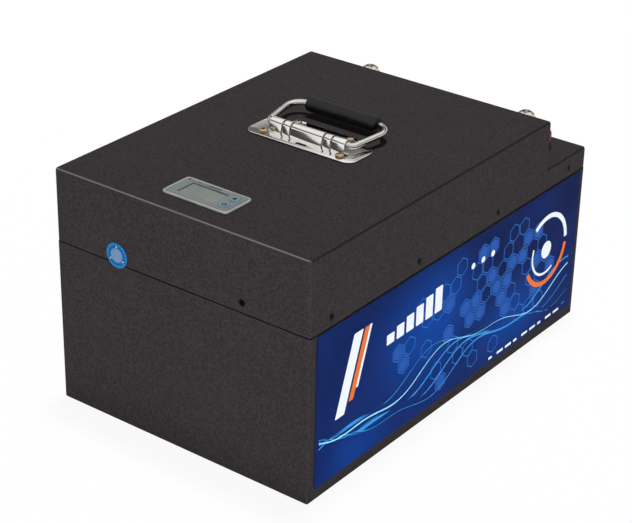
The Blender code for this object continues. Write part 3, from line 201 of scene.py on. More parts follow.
class Finish:
    """A Principled material and the texture nodes that vary it."""

    def __init__(self, name, colour, roughness, metallic=0.0, specular=0.5):
        self.material = bpy.data.materials.new(name)
        self.material.use_nodes = True
        self.tree = self.material.node_tree
        self.shader = self.tree.nodes["Principled BSDF"]
        self.colour = colour
        self.roughness = roughness
        self.set("Base Color", (*colour, 1.0))
        self.set("Roughness", roughness)
        self.set("Metallic", metallic)
        self.set("Specular IOR Level", specular)
        self.place = self.node("ShaderNodeTexCoord").outputs["Object"]

    def set(self, socket, value):
        self.shader.inputs[socket].default_value = value

    def node(self, kind, **settings):
        made = self.tree.nodes.new(kind)
        for name, value in settings.items():
            setattr(made, name, value)
        return made

    def feed(self, source, target):
        self.tree.links.new(source, target)

    def stretched(self, scale, shift=(0.0, 0.0, 0.0)):
        """Object coordinates, scaled along each axis and then shifted."""
        mapping = self.node("ShaderNodeMapping")
        mapping.inputs["Scale"].default_value = scale
        mapping.inputs["Location"].default_value = shift
        self.feed(self.place, mapping.inputs["Vector"])
        return mapping.outputs["Vector"]

    def texture(self, kind, output, scale, place=None):
        made = self.node("ShaderNodeTex" + kind)
        made.inputs["Scale"].default_value = scale
        self.feed(place or self.place, made.inputs["Vector"])
        return made.outputs[output]

    def noise(self, scale, detail=2.0, stretch=None):
        value = self.texture("Noise", "Fac", scale, self.stretched(stretch) if stretch else None)
        value.node.inputs["Detail"].default_value = detail
        return value

    def axis(self, name, source=None):
        split = self.node("ShaderNodeSeparateXYZ")
        self.feed(source or self.place, split.inputs[0])
        return split.outputs[name]

    def math(self, operation, first, second):
        made = self.node("ShaderNodeMath", operation=operation)
        for socket, value in zip(made.inputs, (first, second)):
            if isinstance(value, (int, float)):
                socket.default_value = value
            else:
                self.feed(value, socket)
        return made.outputs[0]

    def spread(self, value, low, high, to_low=0.0, to_high=1.0, way="LINEAR"):
        """A value moved from one range to another, and held inside it."""
        made = self.node("ShaderNodeMapRange", interpolation_type=way)
        self.feed(value, made.inputs["Value"])
        for socket, number in zip(("From Min", "From Max", "To Min", "To Max"), (low, high, to_low, to_high)):
            made.inputs[socket].default_value = number
        return made.outputs["Result"]

    def ramp(self, value, stops):
        """A colour for each place along a value."""
        made = self.node("ShaderNodeValToRGB")
        set_stops(made, stops)
        self.feed(value, made.inputs["Fac"])
        return made.outputs["Color"]

    def mix(self, factor, first, second):
        made = self.node("ShaderNodeMix", data_type="RGBA")
        self.feed(factor, made.inputs["Factor"])
        for socket, value in (("A", first), ("B", second)):
            target = next(i for i in made.inputs if i.name == socket and i.type == "RGBA")
            if isinstance(value, tuple):
                target.default_value = (*value, 1.0)
            else:
                self.feed(value, target)
        return next(o for o in made.outputs if o.type == "RGBA")

    def glow(self, middle, reach):
        """A soft spot on the case's side: 1 at its (y, z) middle, 0 at its reach."""
        arm = self.stretched((0.0, 1 / reach[0], 1 / reach[1]),
                             (0.0, -middle[0] / reach[0], -middle[1] / reach[1]))
        length = self.node("ShaderNodeVectorMath", operation="LENGTH")
        self.feed(arm, length.inputs[0])
        return self.spread(length.outputs["Value"], 0.0, 1.0, 1.0, 0.0, "SMOOTHSTEP")

    def shades(self, value, dark, light, low, high):
        """The finish's own colour, between two shares of it."""
        ends = [tuple(channel * share for channel in self.colour) for share in (dark, light)]
        return self.ramp(self.spread(value, low, high), [(0.0, ends[0]), (1.0, ends[1])])

    def tone(self, value, dark, light, low=0.3, high=0.7):
        return self.paint(self.shades(value, dark, light, low, high))

    def paint(self, colour):
        self.feed(colour, self.shader.inputs["Base Color"])
        return self

    def polish(self, value, change, low=0.3, high=0.7):
        """Vary the roughness about its own value."""
        self.feed(self.spread(value, low, high, self.roughness - change, self.roughness + change),
                  self.shader.inputs["Roughness"])
        return self

    def relief(self, value, depth, strength=1.0):
        bump = self.node("ShaderNodeBump")
        bump.inputs["Strength"].default_value = strength
        bump.inputs["Distance"].default_value = depth
        self.feed(value, bump.inputs["Height"])
        self.feed(bump.outputs["Normal"], self.shader.inputs["Normal"])
        return self


def powder_coat():
    """Matt black coat with a sandy grain, with a painted highlight along the front fold and painted shade along
    the side folds.
    """
    finish = Finish("powder_coat", (0.0346, 0.0299, 0.0314), 0.58, specular=0.01)
    grain = finish.noise(680, 3.0)
    patches = finish.noise(14)
    both = finish.math("ADD", finish.math("MULTIPLY", grain, 0.90), finish.math("MULTIPLY", patches, 0.10))
    coat = finish.shades(both, 0.76, 1.24, 0.36, 0.64)
    normal = finish.node("ShaderNodeNewGeometry").outputs["Normal"]
    side, front, up = (finish.axis(name, normal) for name in "XYZ")
    # Painted highlight: the lid's top front fold is lightened as if it caught the light.
    folded = finish.math("MULTIPLY", finish.math("MULTIPLY", front, -1.0), up)
    high = finish.spread(finish.axis("Z"), LID_HIGH.z - 2 * LID_BEND, LID_HIGH.z - LID_BEND)
    front_fold_highlight = finish.math("MULTIPLY", finish.spread(folded, 0.42, 0.49), high)
    # Painted shade: the folds between the top and the sides are darkened.
    across = finish.math("MULTIPLY", finish.math("ABSOLUTE", side, 0.0), up)
    side_fold_shade = finish.math("MULTIPLY", finish.spread(across, 0.30, 0.50), 0.75)
    # Mix in the painted shade's dark colour on the side folds, then the painted highlight's pale colour on the
    # front fold.
    coat = finish.mix(side_fold_shade, coat, (0.0075, 0.0070, 0.0072))
    finish.paint(finish.mix(finish.math("MULTIPLY", front_fold_highlight, 0.85), coat, (0.150, 0.140, 0.122)))
    finish.polish(patches, 0.05)
    return finish.relief(grain, 0.00012, 0.13)


def moulded(name, colour, roughness, grain=1800, depth=0.00003, specular=0.5, spread=0.12):
    """A moulded plastic or rubber with a fine spark-eroded grain."""
    finish = Finish(name, colour, roughness, specular=specular)
    fine = finish.noise(grain, 2.0)
    broad = finish.noise(60, 3.0)
    finish.tone(broad, 1.0 - spread, 1.0 + spread)
    finish.polish(broad, 0.06)
    return finish.relief(fine, depth, 0.6)


def metal(name, colour, roughness, stretch, marks=240, depth=0.000012, spread=0.10):
    """A metal with fine marks drawn out along one direction."""
    finish = Finish(name, colour, roughness, metallic=1.0)
    lines = finish.noise(marks, 3.0, stretch)
    clouds = finish.noise(90, 3.0)
    finish.tone(clouds, 1.0 - spread, 1.0 + spread)
    finish.polish(lines, roughness * 0.35)
    return finish.relief(lines, depth, 0.5)


def ink(name, colour, roughness=0.42):
    """Printing on film, with the faint mottle of a screen print."""
    finish = Finish(name, colour, roughness, specular=0.03)
    mottle = finish.noise(1400)
    finish.tone(mottle, 0.92, 1.08)
    finish.polish(mottle, 0.04)
    return finish.relief(mottle, 0.000004, 0.4)


def label_film():
    """Navy film with soft blue glows and a fine screen."""
    finish = Finish("label_film", srgb(24, 45, 104), 0.45, specular=0.02)
    colour = finish.ramp(finish.spread(finish.noise(11, 3.0), 0.3, 0.7),
                         [(0.0, srgb(4, 23, 74)), (1.0, srgb(8, 39, 104))])
    for middle, reach, tint in (((-0.035, 0.088), (0.095, 0.070), srgb(4, 70, 162)),
                                ((0.085, 0.040), (0.085, 0.050), srgb(5, 65, 152)),
                                ((-0.130, 0.020), (0.060, 0.036), srgb(5, 58, 140))):
        colour = finish.mix(finish.math("MULTIPLY", finish.glow(middle, reach), 0.75), colour, tint)
    finish.paint(colour)
    screen = finish.texture("Voronoi", "Distance", 2600)
    finish.polish(finish.noise(40), 0.05)
    return finish.relief(screen, 0.000004, 0.4)


def display_glass():
    """A grey-green reflective display, with painted shade along its border for the shadow of the recess it sits
    in.
    """
    finish = Finish("display_glass", srgb(130, 134, 124), 0.18, specular=0.25)
    half = (DISPLAY_HIGH - DISPLAY_LOW) / 2
    middle = (DISPLAY_HIGH + DISPLAY_LOW) / 2
    # Painted shade: a mask that darkens the display towards its border, as the recess would shade it.
    sides = []
    for index, name in enumerate("XY"):
        off = finish.math("ABSOLUTE", finish.math("SUBTRACT", finish.axis(name), middle[index]), 0.0)
        sides.append(finish.spread(off, half[index] - 0.0030, half[index] - 0.0012))
    edge = finish.math("MAXIMUM", *sides)
    sheen = finish.spread(finish.noise(70), 0.3, 0.7)
    glass = finish.mix(sheen, srgb(122, 127, 121), srgb(134, 138, 133))
    finish.paint(finish.mix(edge, glass, srgb(112, 118, 114)))
    rows = finish.noise(900, 1.0, (0.05, 1.0, 1.0))
    return finish.relief(rows, 0.000003, 0.4)


def meter_film():
    """Blue-grey film, a little greener towards its left end."""
    finish = Finish("meter_film", srgb(118, 124, 128), 0.40, specular=0.10)
    along = finish.spread(finish.axis("X"), FACE_LOW.x, FACE_HIGH.x)
    finish.paint(finish.ramp(along, [(0.0, srgb(112, 121, 120)), (0.6, srgb(119, 123, 121)),
                                     (1.0, srgb(111, 119, 121))]))
    grain = finish.noise(1500)
    finish.polish(grain, 0.05)
    return finish.relief(grain, 0.000008, 0.5)


def laminate():
    """Glass-cloth board with its weave showing."""
    finish = Finish("laminate", (0.30, 0.34, 0.16), 0.55)
    weave = finish.texture("Checker", "Fac", 900)
    finish.tone(weave, 0.88, 1.08, 0.0, 1.0)
    return finish.relief(weave, 0.00002, 0.4)


def cell_wrap():
    """Blue shrink film, slightly wrinkled."""
    finish = Finish("cell_wrap", (0.02, 0.10, 0.36), 0.32)
    wrinkle = finish.noise(55, 4.0, (1.0, 0.4, 1.0))
    finish.tone(wrinkle, 0.85, 1.15)
    finish.polish(wrinkle, 0.08)
    return finish.relief(wrinkle, 0.0002, 0.3)


FINISHES = {
    "case_black": powder_coat(),
    "screw_black": metal("black_oxide", (0.0030, 0.0029, 0.0030), 0.50, (1, 1, 1)),
    "label_print": label_film(),
    "seal_print": ink("seal_blue", srgb(34, 104, 158)),
    "meter_grey": moulded("meter_grey", srgb(157, 159, 157), 0.24),
    "meter_film": meter_film(),
    "meter_screen": display_glass(),
    "meter_button": moulded("button_blue", srgb(111, 119, 122), 0.40, specular=0.1),
    "circuit_board": moulded("solder_mask", (0.02, 0.12, 0.05), 0.42),
    "nickel": metal("bright_nickel", (0.80, 0.79, 0.755), 0.06, (0.06, 1, 1), 500, 0.000003, 0.06),
    "grip_rubber": moulded("grip_rubber", (0.0245, 0.0245, 0.0247), 0.60, 1100, 0.00004, 0.03),
    "seal_rubber": moulded("seal_rubber", (0.013, 0.013, 0.014), 0.68, 900, 0.00005, 0.15),
    "screw_passivated": metal("yellow_zinc", (0.50, 0.37, 0.23), 0.20, (1, 1, 1), spread=0.18),
    "positive_red": moulded("red_insulator", (0.105, 0.012, 0.011), 0.44, specular=0.12),
    "negative_black": moulded("black_insulator", (0.018, 0.018, 0.020), 0.40, specular=0.25),
    "brass": metal("turned_brass", (0.72, 0.52, 0.22), 0.24, (1, 1, 0.05)),
    "terminal_steel": metal("plated_steel", (0.66, 0.63, 0.55), 0.20, (1, 1, 0.2)),
    "nylon": moulded("natural_nylon", (0.70, 0.70, 0.66), 0.45),
    "cell_wrap": cell_wrap(),
    "cradle_board": laminate(),
    "copper": metal("bare_copper", (0.72, 0.36, 0.22), 0.28, (0.05, 1, 1), spread=0.2),
    "module_black": moulded("potted_module", (0.020, 0.020, 0.022), 0.5, 700, 0.0001),
    "heat_sink": metal("extruded_aluminium", (0.66, 0.67, 0.68), 0.36, (1, 1, 0.03)),
    "red_cable": moulded("red_silicone", (0.45, 0.02, 0.02), 0.48),
    "black_cable": moulded("black_silicone", (0.015, 0.015, 0.016), 0.48),
}


# Shapes

def add(name, data, matrix=Matrix.Identity(4)):
    obj = bpy.data.objects.new(name, data)
    obj.matrix_world = matrix
    bpy.context.scene.collection.objects.link(obj)
    return obj


def smooth(mesh):
    mesh.shade_smooth()
    mesh.set_sharp_from_angle(angle=SMOOTH_ANGLE)
    return mesh


def mesh_of(name, bm):
    bmesh.ops.recalc_face_normals(bm, faces=bm.faces)
    mesh = bpy.data.meshes.new(name)
    bm.to_mesh(mesh)
    bm.free()
    return smooth(mesh)


def applied(obj):
    """The object with its modifiers or curve turned into one mesh."""
    bpy.context.view_layer.update()
    graph = bpy.context.evaluated_depsgraph_get()
    mesh = bpy.data.meshes.new_from_object(obj.evaluated_get(graph), depsgraph=graph)
    name, matrix = obj.name, obj.matrix_world.copy()
    bpy.data.objects.remove(obj, do_unlink=True)
    return add(name, mesh, matrix)


def rounded(points, radius, closed=True, steps=5):
    """A flat outline with an arc at each corner; radius may be one value or one for each corner."""
    count = len(points)
    radii = radius if isinstance(radius, (list, tuple)) else [radius] * count
    outline = []
    for index, (corner, size) in enumerate(zip(points, radii)):
        if not size or (not closed and index in (0, count - 1)):
            outline.append(tuple(corner))
            continue
        corner = Vector(corner)
        back = (Vector(points[index - 1]) - corner).normalized()
        ahead = (Vector(points[(index + 1) % count]) - corner).normalized()
        half = back.angle(ahead) / 2
        start = corner + back * (size / math.tan(half))
        end = corner + ahead * (size / math.tan(half))
        centre = corner + (back + ahead).normalized() * (size / math.sin(half))
        sweep = (start - centre).angle(end - centre)
        for step in range(steps + 1):
            share = step / steps
            first = math.sin((1 - share) * sweep) / math.sin(sweep)
            second = math.sin(share * sweep) / math.sin(sweep)
            arm = (start - centre) * first + (end - centre) * second
            outline.append(tuple(centre + arm))
    return outline


def rectangle(low, high):
    return [(low[0], low[1]), (high[0], low[1]), (high[0], high[1]), (low[0], high[1])]


def circle(radius, centre=(0, 0), steps=ROUND):
    return [(centre[0] + radius * math.cos(math.tau * i / steps),
             centre[1] + radius * math.sin(math.tau * i / steps)) for i in range(steps)]


def arc_points(radius, start, end, steps, centre=(0, 0)):
    """Points along an arc, its angles in degrees."""
    angles = (math.radians(start + (end - start) * k / steps) for k in range(steps + 1))
    return [(centre[0] + radius * math.cos(angle), centre[1] + radius * math.sin(angle)) for angle in angles]


def shrunk(low, high, inset):
    """A rectangle's two corners, moved in by an inset."""
    return (low[0] + inset, low[1] + inset), (high[0] - inset, high[1] - inset)


def lifted(height):
    return Matrix.Translation((0, 0, height))


def bridge(bm, first, second):
    """Faces between two rings of points; points that coincide are taken once."""
    for i in range(len(first)):
        j = (i + 1) % len(first)
        corners = list(dict.fromkeys((first[i], first[j], second[j], second[i])))
        if len(corners) > 2:
            bm.faces.new(corners)


def new_curve(name, dimensions, bevel, resolution):
    curve = bpy.data.curves.new(name, "CURVE")
    curve.dimensions = dimensions
    curve.bevel_depth = bevel
    curve.bevel_resolution = resolution
    return curve


def add_spline(curve, points, closed):
    spline = curve.splines.new("POLY")
    spline.points.add(len(points) - 1)
    for point, place in zip(spline.points, points):
        point.co = (*place, 1.0)
    spline.use_cyclic_u = closed


def sheet(name, outlines, thickness, edge=0.0, matrix=Matrix.Identity(4)):
    """Flat outlines, holes among them, thickened upwards from local z = 0 with eased edges."""
    curve = new_curve(name, "2D", edge, 2)
    curve.fill_mode = "BOTH"
    curve.extrude = thickness / 2 - edge
    curve.offset = -edge
    for outline in outlines:
        add_spline(curve, [(x, y, thickness / 2) for x, y in outline], True)
    obj = applied(add(name, curve, matrix))
    bm = bmesh.new()
    bm.from_mesh(obj.data)
    bmesh.ops.remove_doubles(bm, verts=bm.verts, dist=NEAR)
    low = min(vertex.co.z for vertex in bm.verts)
    bmesh.ops.translate(bm, verts=bm.verts, vec=(0, 0, -low))
    bm.to_mesh(obj.data)
    bm.free()
    smooth(obj.data)
    return obj


def lathe(name, profile, steps=ROUND, closed=False, matrix=Matrix.Identity(4)):
    """Turn (radius, height) points about local Z."""
    bm = bmesh.new()
    rings = []
    for radius, height in profile:
        if radius < NEAR:
            rings.append([bm.verts.new((0, 0, height))] * steps)
        else:
            rings.append([bm.verts.new((x, y, height)) for x, y in circle(radius, steps=steps)])
    following = rings[1:] + rings[:1] if closed else rings[1:]
    for upper, lower in zip(rings, following):
        bridge(bm, upper, lower)
    return add(name, mesh_of(name, bm), matrix)


def swept(name, path, radius, closed=False, matrix=Matrix.Identity(4)):
    """A round wire along a path."""
    curve = new_curve(name, "3D", radius, 8)
    curve.use_fill_caps = True
    add_spline(curve, path, closed)
    obj = applied(add(name, curve, matrix))
    smooth(obj.data)
    return obj


def merged(name, objects):
    """Several meshes as one piece."""
    bm = bmesh.new()
    for obj in objects:
        obj.data.transform(obj.matrix_world)
        bm.from_mesh(obj.data)
        bpy.data.objects.remove(obj, do_unlink=True)
    mesh = bpy.data.meshes.new(name)
    bm.to_mesh(mesh)
    bm.free()
    return add(name, smooth(mesh))


def carve(obj, *tools):
    """Cut tools out of a piece."""
    for tool in tools:
        modifier = obj.modifiers.new(tool.name, "BOOLEAN")
        modifier.operation = "DIFFERENCE"
        modifier.solver = "EXACT"
        modifier.object = tool
    done = applied(obj)
    for tool in tools:
        bpy.data.objects.remove(tool, do_unlink=True)
    smooth(done.data)
    return done


def show(obj, slot, body="battery", stands_for=(), finish=None):
    """Give a piece its finish, from its slot unless a finish is given, and its body, and hide the nodes that it
    stands for.

    A mesh of its own takes its place into its points, so that textures run in the model's frame.
    """
    if obj.data.users == 1:
        obj.data.transform(obj.matrix_world)
        obj.matrix_world = Matrix.Identity(4)
    obj.data.materials.clear()
    obj.data.materials.append((finish or FINISHES[slot]).material)
    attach(obj, body)
    if stands_for:
        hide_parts(*stands_for)
    return obj


def centre_of(node):
    low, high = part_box(node)
    return (low + high) / 2


def standing(node, height, degrees=0):
    """Upright over a node's middle at a height, turned about its own axis."""
    place = Matrix.Translation((*centre_of(node).xy, height))
    return place @ Matrix.Rotation(math.radians(degrees), 4, "Z")


# Case and lid

def lid_profile(inset, bottom):
    """Side outline of the lid as (y, z)."""
    front, rear = LID_LOW.y + inset, LID_HIGH.y - inset
    step, ledge, top = HOOD_REAR - inset, LEDGE_TOP - inset, LID_HIGH.z - inset
    return [(front, bottom), (rear, bottom), (rear, ledge), (step, ledge), (step, top), (front, top)]


def prism(name, outline, half_width):
    """A (y, z) outline extruded across the width."""
    bm = bmesh.new()
    sides = [[bm.verts.new((x, y, z)) for y, z in outline] for x in (-half_width, half_width)]
    bm.faces.new(sides[0])
    bm.faces.new(sides[1])
    bridge(bm, *sides)
    return add(name, mesh_of(name, bm))


def bent(obj, radius):
    """Round every sharp edge, as sheet bends."""
    bevel = obj.modifiers.new("bend", "BEVEL")
    bevel.width = radius
    bevel.segments = BEND_STEPS
    bevel.limit_method = "ANGLE"
    bevel.angle_limit = SMOOTH_ANGLE
    return applied(obj)


def settled(obj):
    """Keep flat faces flat to the light beside their round bends."""
    smooth(obj.data)
    weighted = obj.modifiers.new("weighted", "WEIGHTED_NORMAL")
    weighted.keep_sharp = True
    return applied(obj)


def screw_matrix(node):
    """Where a lid screw's head sits, its local +Z outward."""
    low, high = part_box(node)
    place = (low + high) / 2
    axis, outer, turn, about = {
        "right": (0, high, 90, "Y"), "left": (0, low, -90, "Y"),
        "front": (1, low, 90, "X"), "rear": (1, high, -90, "X"),
    }[node.split("_")[2]]
    place[axis] = outer[axis]
    return Matrix.Translation(place) @ Matrix.Rotation(math.radians(turn), 4, about)


LID_SCREWS = sorted(name for name in NODES if name.startswith("lid_screw"))


def slab(name, bottom, top):
    """A wide block between two heights, to trim with."""
    return prism(name, rectangle((-1, bottom), (1, top)), 1.0)


def make_lid():
    outer = bent(prism("lid_shell", lid_profile(0.0, LID_LOW.z - SPARE), LID_HIGH.x), LID_BEND)
    inner = bent(prism("lid_hollow", lid_profile(SHEET, LID_LOW.z - 2 * SPARE), LID_HIGH.x - SHEET),
                 LID_BEND - SHEET)
    lid = carve(outer, inner, slab("lid_trim", LID_LOW.z - 3 * SPARE, LID_LOW.z))
    sink = [(0, SINK_TOP), (SCREW_RADIUS + SINK_PLAY, SINK_TOP), (SINK_SHANK, -SCREW_CONE),
            (SINK_SHANK, SINK_FLOOR), (0, SINK_FLOOR)]
    sinks = [lathe(f"sink_{node}", sink, SMALL_ROUND, matrix=screw_matrix(node)) for node in LID_SCREWS]
    hole = [(0, POST_HOLE_DEPTH), (POST_HOLE_RADIUS, POST_HOLE_DEPTH), (POST_HOLE_RADIUS, -POST_HOLE_DEPTH),
            (0, -POST_HOLE_DEPTH)]
    holes = [lathe(f"hole_{node}", hole, matrix=standing(node, LEDGE_TOP))
             for node in ("positive_post", "negative_post")]
    opening = rectangle(*shrunk(METER_LOW, METER_HIGH, METER_HOLE_INSET))
    window = sheet("meter_hole", [opening], SPARE / 2, matrix=lifted(LID_HIGH.z - SPARE / 4))
    lid = carve(lid, merged("sinks", sinks), merged("holes", holes), window)
    show(settled(lid), "case_black", stands_for=["lid"])


def make_case():
    """The lower case, flush with the lid, with a neck inside the lid's skirt."""
    half, back = CASE_HIGH.x, CASE_HIGH.y

    def tub(name, inset, bottom, top, radius):
        outline = rectangle((-back + inset, bottom), (back - inset, top + SPARE))
        body = bent(prism(name, outline, half - inset), radius)
        return carve(body, slab(name + "_trim", top, top + 2 * SPARE))

    neck_bend = LID_BEND - NECK_INSET
    shell = carve(tub("case_shell", 0.0, 0.0, SHOULDER, CASE_BEND),
                  tub("case_hollow", SHEET, SHEET, SHOULDER - SHEET, CASE_BEND - SHEET),
                  tub("case_mouth", NECK_INSET + SHEET, SHOULDER - 2 * SHEET, SHOULDER + SHEET,
                      neck_bend - SHEET))
    neck = carve(tub("case_neck", NECK_INSET, SHOULDER - 2 * SHEET, CASE_HIGH.z, neck_bend),
                 tub("neck_hollow", NECK_INSET + SHEET, SHOULDER - 4 * SHEET, CASE_HIGH.z + SHEET,
                     neck_bend - SHEET))
    show(settled(merged("case_body", [shell, neck])), "case_black", stands_for=["lower_case"])


def cross_tool(name, arm, width, depth):
    """A tapered cross for a driver recess, sunk from z = 0."""
    outline = [(width, width), (width, arm), (-width, arm), (-width, width), (-arm, width), (-arm, -width),
               (-width, -width), (-width, -arm), (width, -arm), (width, -width), (arm, -width), (arm, width)]
    bm = bmesh.new()
    rims = [[bm.verts.new((x * share, y * share, z)) for x, y in outline]
            for z, share in ((depth * 0.3, 1.0), (0.0, 1.0), (-depth, 0.62))]
    bm.faces.new(rims[0])
    bm.faces.new(rims[2])
    for upper, lower in zip(rims, rims[1:]):
        bridge(bm, upper, lower)
    return add(name, mesh_of(name, bm))


def countersunk(name):
    """A flat head, its top flush at z = 0, with an eased rim."""
    profile = rounded([(0, 0), (SCREW_RADIUS, 0), (SCREW_SHANK, -SCREW_CONE), (SCREW_SHANK, -SCREW_LENGTH),
                       (0, -SCREW_LENGTH)], [0, 0.00018, 0, 0.0002, 0], closed=False)
    recess = cross_tool("recess", RECESS_ARM, RECESS_HALF, RECESS_DEPTH)
    return carve(lathe(name, profile, SMALL_ROUND), recess)


def pan_head(name, radius, height, shank, length):
    """A pan head that seats at z = 0, with a driver recess."""
    profile = rounded([(0, height), (radius * 0.55, height * 0.97), (radius, height * 0.62), (radius, 0),
                       (shank, 0), (shank, -length), (0, -length)],
                      [0, radius * 0.3, radius * 0.2, radius * 0.06, 0, 0.0002, 0], closed=False)
    recess = cross_tool("recess", radius * 0.62, radius * 0.13, height * 0.6)
    recess.matrix_world = lifted(height * 0.96)
    bpy.context.view_layer.update()
    return carve(lathe(name, profile, SMALL_ROUND), recess)


def copies(master, places, slot, body="battery"):
    """Stand a shared mesh at each named node's place."""
    mesh = master.data
    bpy.data.objects.remove(master, do_unlink=True)
    pieces = {node: add(node + "_fine", mesh, matrix) for node, matrix in places.items()}
    for node, piece in pieces.items():
        show(piece, slot, body, [node])


def make_lid_screws():
    turn = random.Random(4)
    places = {node: screw_matrix(node) @ Matrix.Rotation(turn.uniform(0, math.pi / 2), 4, "Z")
              for node in LID_SCREWS}
    copies(countersunk("lid_screw_fine"), places, "screw_black")


# Label: soft blue film with honeycomb, wave, level and ring motifs

def on_label(lift):
    """Matrix of a print layer on the label, its local x along the case and y up."""
    return Matrix(((0, 0, 1, LABEL_HIGH.x + lift), (1, 0, 0, 0), (0, 1, 0, 0), (0, 0, 0, 1)))


def ribbon(path, widths):
    """Outline of a band along a flat path."""
    left, right = [], []
    for index, (point, width) in enumerate(zip(path, widths)):
        ahead = Vector(path[min(index + 1, len(path) - 1)]) - Vector(path[max(index - 1, 0)])
        normal = Vector((-ahead.y, ahead.x)).normalized() * (width / 2)
        left.append(tuple(Vector(point) + normal))
        right.append(tuple(Vector(point) - normal))
    return left + right[::-1]


def print_layer(name, outlines, colour, lift):
    layer = sheet(name, outlines, PRINT, matrix=on_label(lift))
    show(layer, "label_print", finish=ink(name, colour, 0.32))


def honeycomb():
    """Hexagon rims and a few filled cells, thinning out away from the middle of the label."""
    pick = random.Random(11)
    pitch = HEX_PITCH
    side = pitch * 0.54
    rims, fills = [], []
    for row in range(-1, 8):
        for column in range(-11, 12):
            x = pitch * (column + 0.5 * (row % 2)) + HEX_START[0]
            y = LABEL_LOW.z + HEX_START[1] + row * pitch * 0.866
            inside = LABEL_LOW.y + pitch * 0.7 < x < LABEL_HIGH.y - pitch * 0.7
            inside = inside and LABEL_LOW.z + pitch * 0.65 < y < LABEL_HIGH.z - pitch * 0.65
            far = math.hypot((x - HEX_MIDDLE[0]) / HEX_REACH[0], (y - HEX_MIDDLE[1]) / HEX_REACH[1])
            if not inside or pick.random() < far * 0.85:
                continue
            rims += [arc_points(side * share, 30, 330, 5, (x, y)) for share in (1.0, 0.90)]
            if pick.random() < 0.34:
                fills.append(arc_points(side * 0.78, 30, 330, 5, (x, y)))
    return rims, fills


def make_label():
    low, high = LABEL_LOW.yz, LABEL_HIGH.yz
    film = sheet("label_film", [rounded(rectangle(low, high), 0.0012)], LABEL_HIGH.x - LABEL_LOW.x,
                 matrix=on_label(LABEL_LOW.x - LABEL_HIGH.x))
    show(film, "label_print", stands_for=["side_label"])

    rims, fills = honeycomb()
    print_layer("label_cells", rims, srgb(40, 108, 196), PRINT)
    print_layer("label_cell_fills", fills, srgb(30, 82, 168), PRINT)

    waves, crests = [], []
    for index in range(5):
        path = [(x, low[1] + 0.020 + index * 0.0052
                 + 0.010 * math.sin(x * 30 + index * 0.55) + 0.004 * math.sin(x * 67 + index))
                for x in (low[0] + 0.004 + step * WAVE_STEP for step in range(WAVE_STEPS))]
        widths = [0.0004 + 0.0010 * (0.5 + 0.5 * math.sin(x * 21 + index * 1.3)) for x, _ in path]
        (crests if index == 3 else waves).append(ribbon(path, widths))
    print_layer("label_waves", waves, srgb(52, 150, 224), 2 * PRINT)
    print_layer("label_crest", crests, srgb(150, 222, 250), 3 * PRINT)

    stripes, accents = [], []
    for x, width, bottom, group in ((-0.156, 0.011, 0.058, stripes), (-0.140, 0.0055, 0.066, accents),
                                    (-0.1315, 0.0028, 0.074, stripes)):
        lean = (SLASH_TOP - bottom) * SLASH_LEAN
        group.append(rounded([(x, bottom), (x + width, bottom), (x + width + lean, SLASH_TOP),
                              (x + lean, SLASH_TOP)], 0.0006))
    for index in range(6):
        x = LEVEL_START + index * MARK_PITCH
        top = LEVEL_BASE + LEVEL_LOWEST + index * LEVEL_RISE
        stripes.append(rounded(rectangle((x, LEVEL_BASE), (x + LEVEL_WIDTH, top)), 0.0009))
    for x in (0.020, 0.034, 0.048):
        stripes.append(circle(0.0026, (x, DOT_LEVEL), SMALL_ROUND))

    for radius, start, end, width, group in ((0.030, 205, 352, 0.0042, accents),
                                             (0.030, 2, 128, 0.0042, stripes),
                                             (0.0215, 160, 300, 0.0022, stripes)):
        path = arc_points(radius, start, end, 48, DIAL_MIDDLE)
        group.append(ribbon(path, [width] * len(path)))
    stripes.append(circle(0.0075, DIAL_MIDDLE))
    for index in range(9):
        x = DASH_START + index * MARK_PITCH
        length = 0.009 if index % 3 else 0.005
        stripes.append(rounded(rectangle((x, DASH_LOW), (x + length, DASH_HIGH)), 0.0006))
    print_layer("label_white", stripes, srgb(232, 238, 244), 4 * PRINT)
    print_layer("label_orange", accents, srgb(226, 112, 48), 5 * PRINT)


def make_seal():
    """A round tamper seal: blue rings, tick marks and a pale middle."""
    middle = (SEAL_LOW + SEAL_HIGH) / 2
    radius = (SEAL_HIGH.x - SEAL_LOW.x) / 2
    base = Matrix.Translation((middle.x, SEAL_HIGH.y, middle.z)) @ Matrix.Rotation(math.pi / 2, 4, "X")
    side_fold_shade = SEAL_HIGH.y - SEAL_LOW.y

    def layer(name, outlines, colour, level):
        piece = sheet(name, outlines, PRINT, matrix=base @ lifted(side_fold_shade + level * PRINT))
        show(piece, "seal_print", finish=ink(name, colour))

    disc = sheet("seal_film", [circle(radius)], side_fold_shade, 0.00005, base)
    show(disc, "seal_print", stands_for=["seam_seal"])
    layer("seal_ring", [circle(radius * 0.76), circle(radius * 0.62)], srgb(16, 84, 142), 0)
    layer("seal_middle", [circle(radius * 0.56)], srgb(102, 132, 164), 0)
    ticks = []
    for index in range(20):
        turn = Matrix.Rotation(math.tau * index / 20, 2)
        long = radius * (0.93 if index % 5 else 0.96)
        tick = rectangle((radius * 0.83, -0.00018), (long, 0.00018))
        ticks.append([tuple(turn @ Vector(point)) for point in tick])
    layer("seal_ticks", ticks, srgb(92, 148, 190), 1)
    dots = [circle(radius * 0.060, spot, 24) for spot in arc_points(radius * 0.69, 90, 330, 2)]
    layer("seal_dots", dots, srgb(176, 204, 226), 1)


# Meter

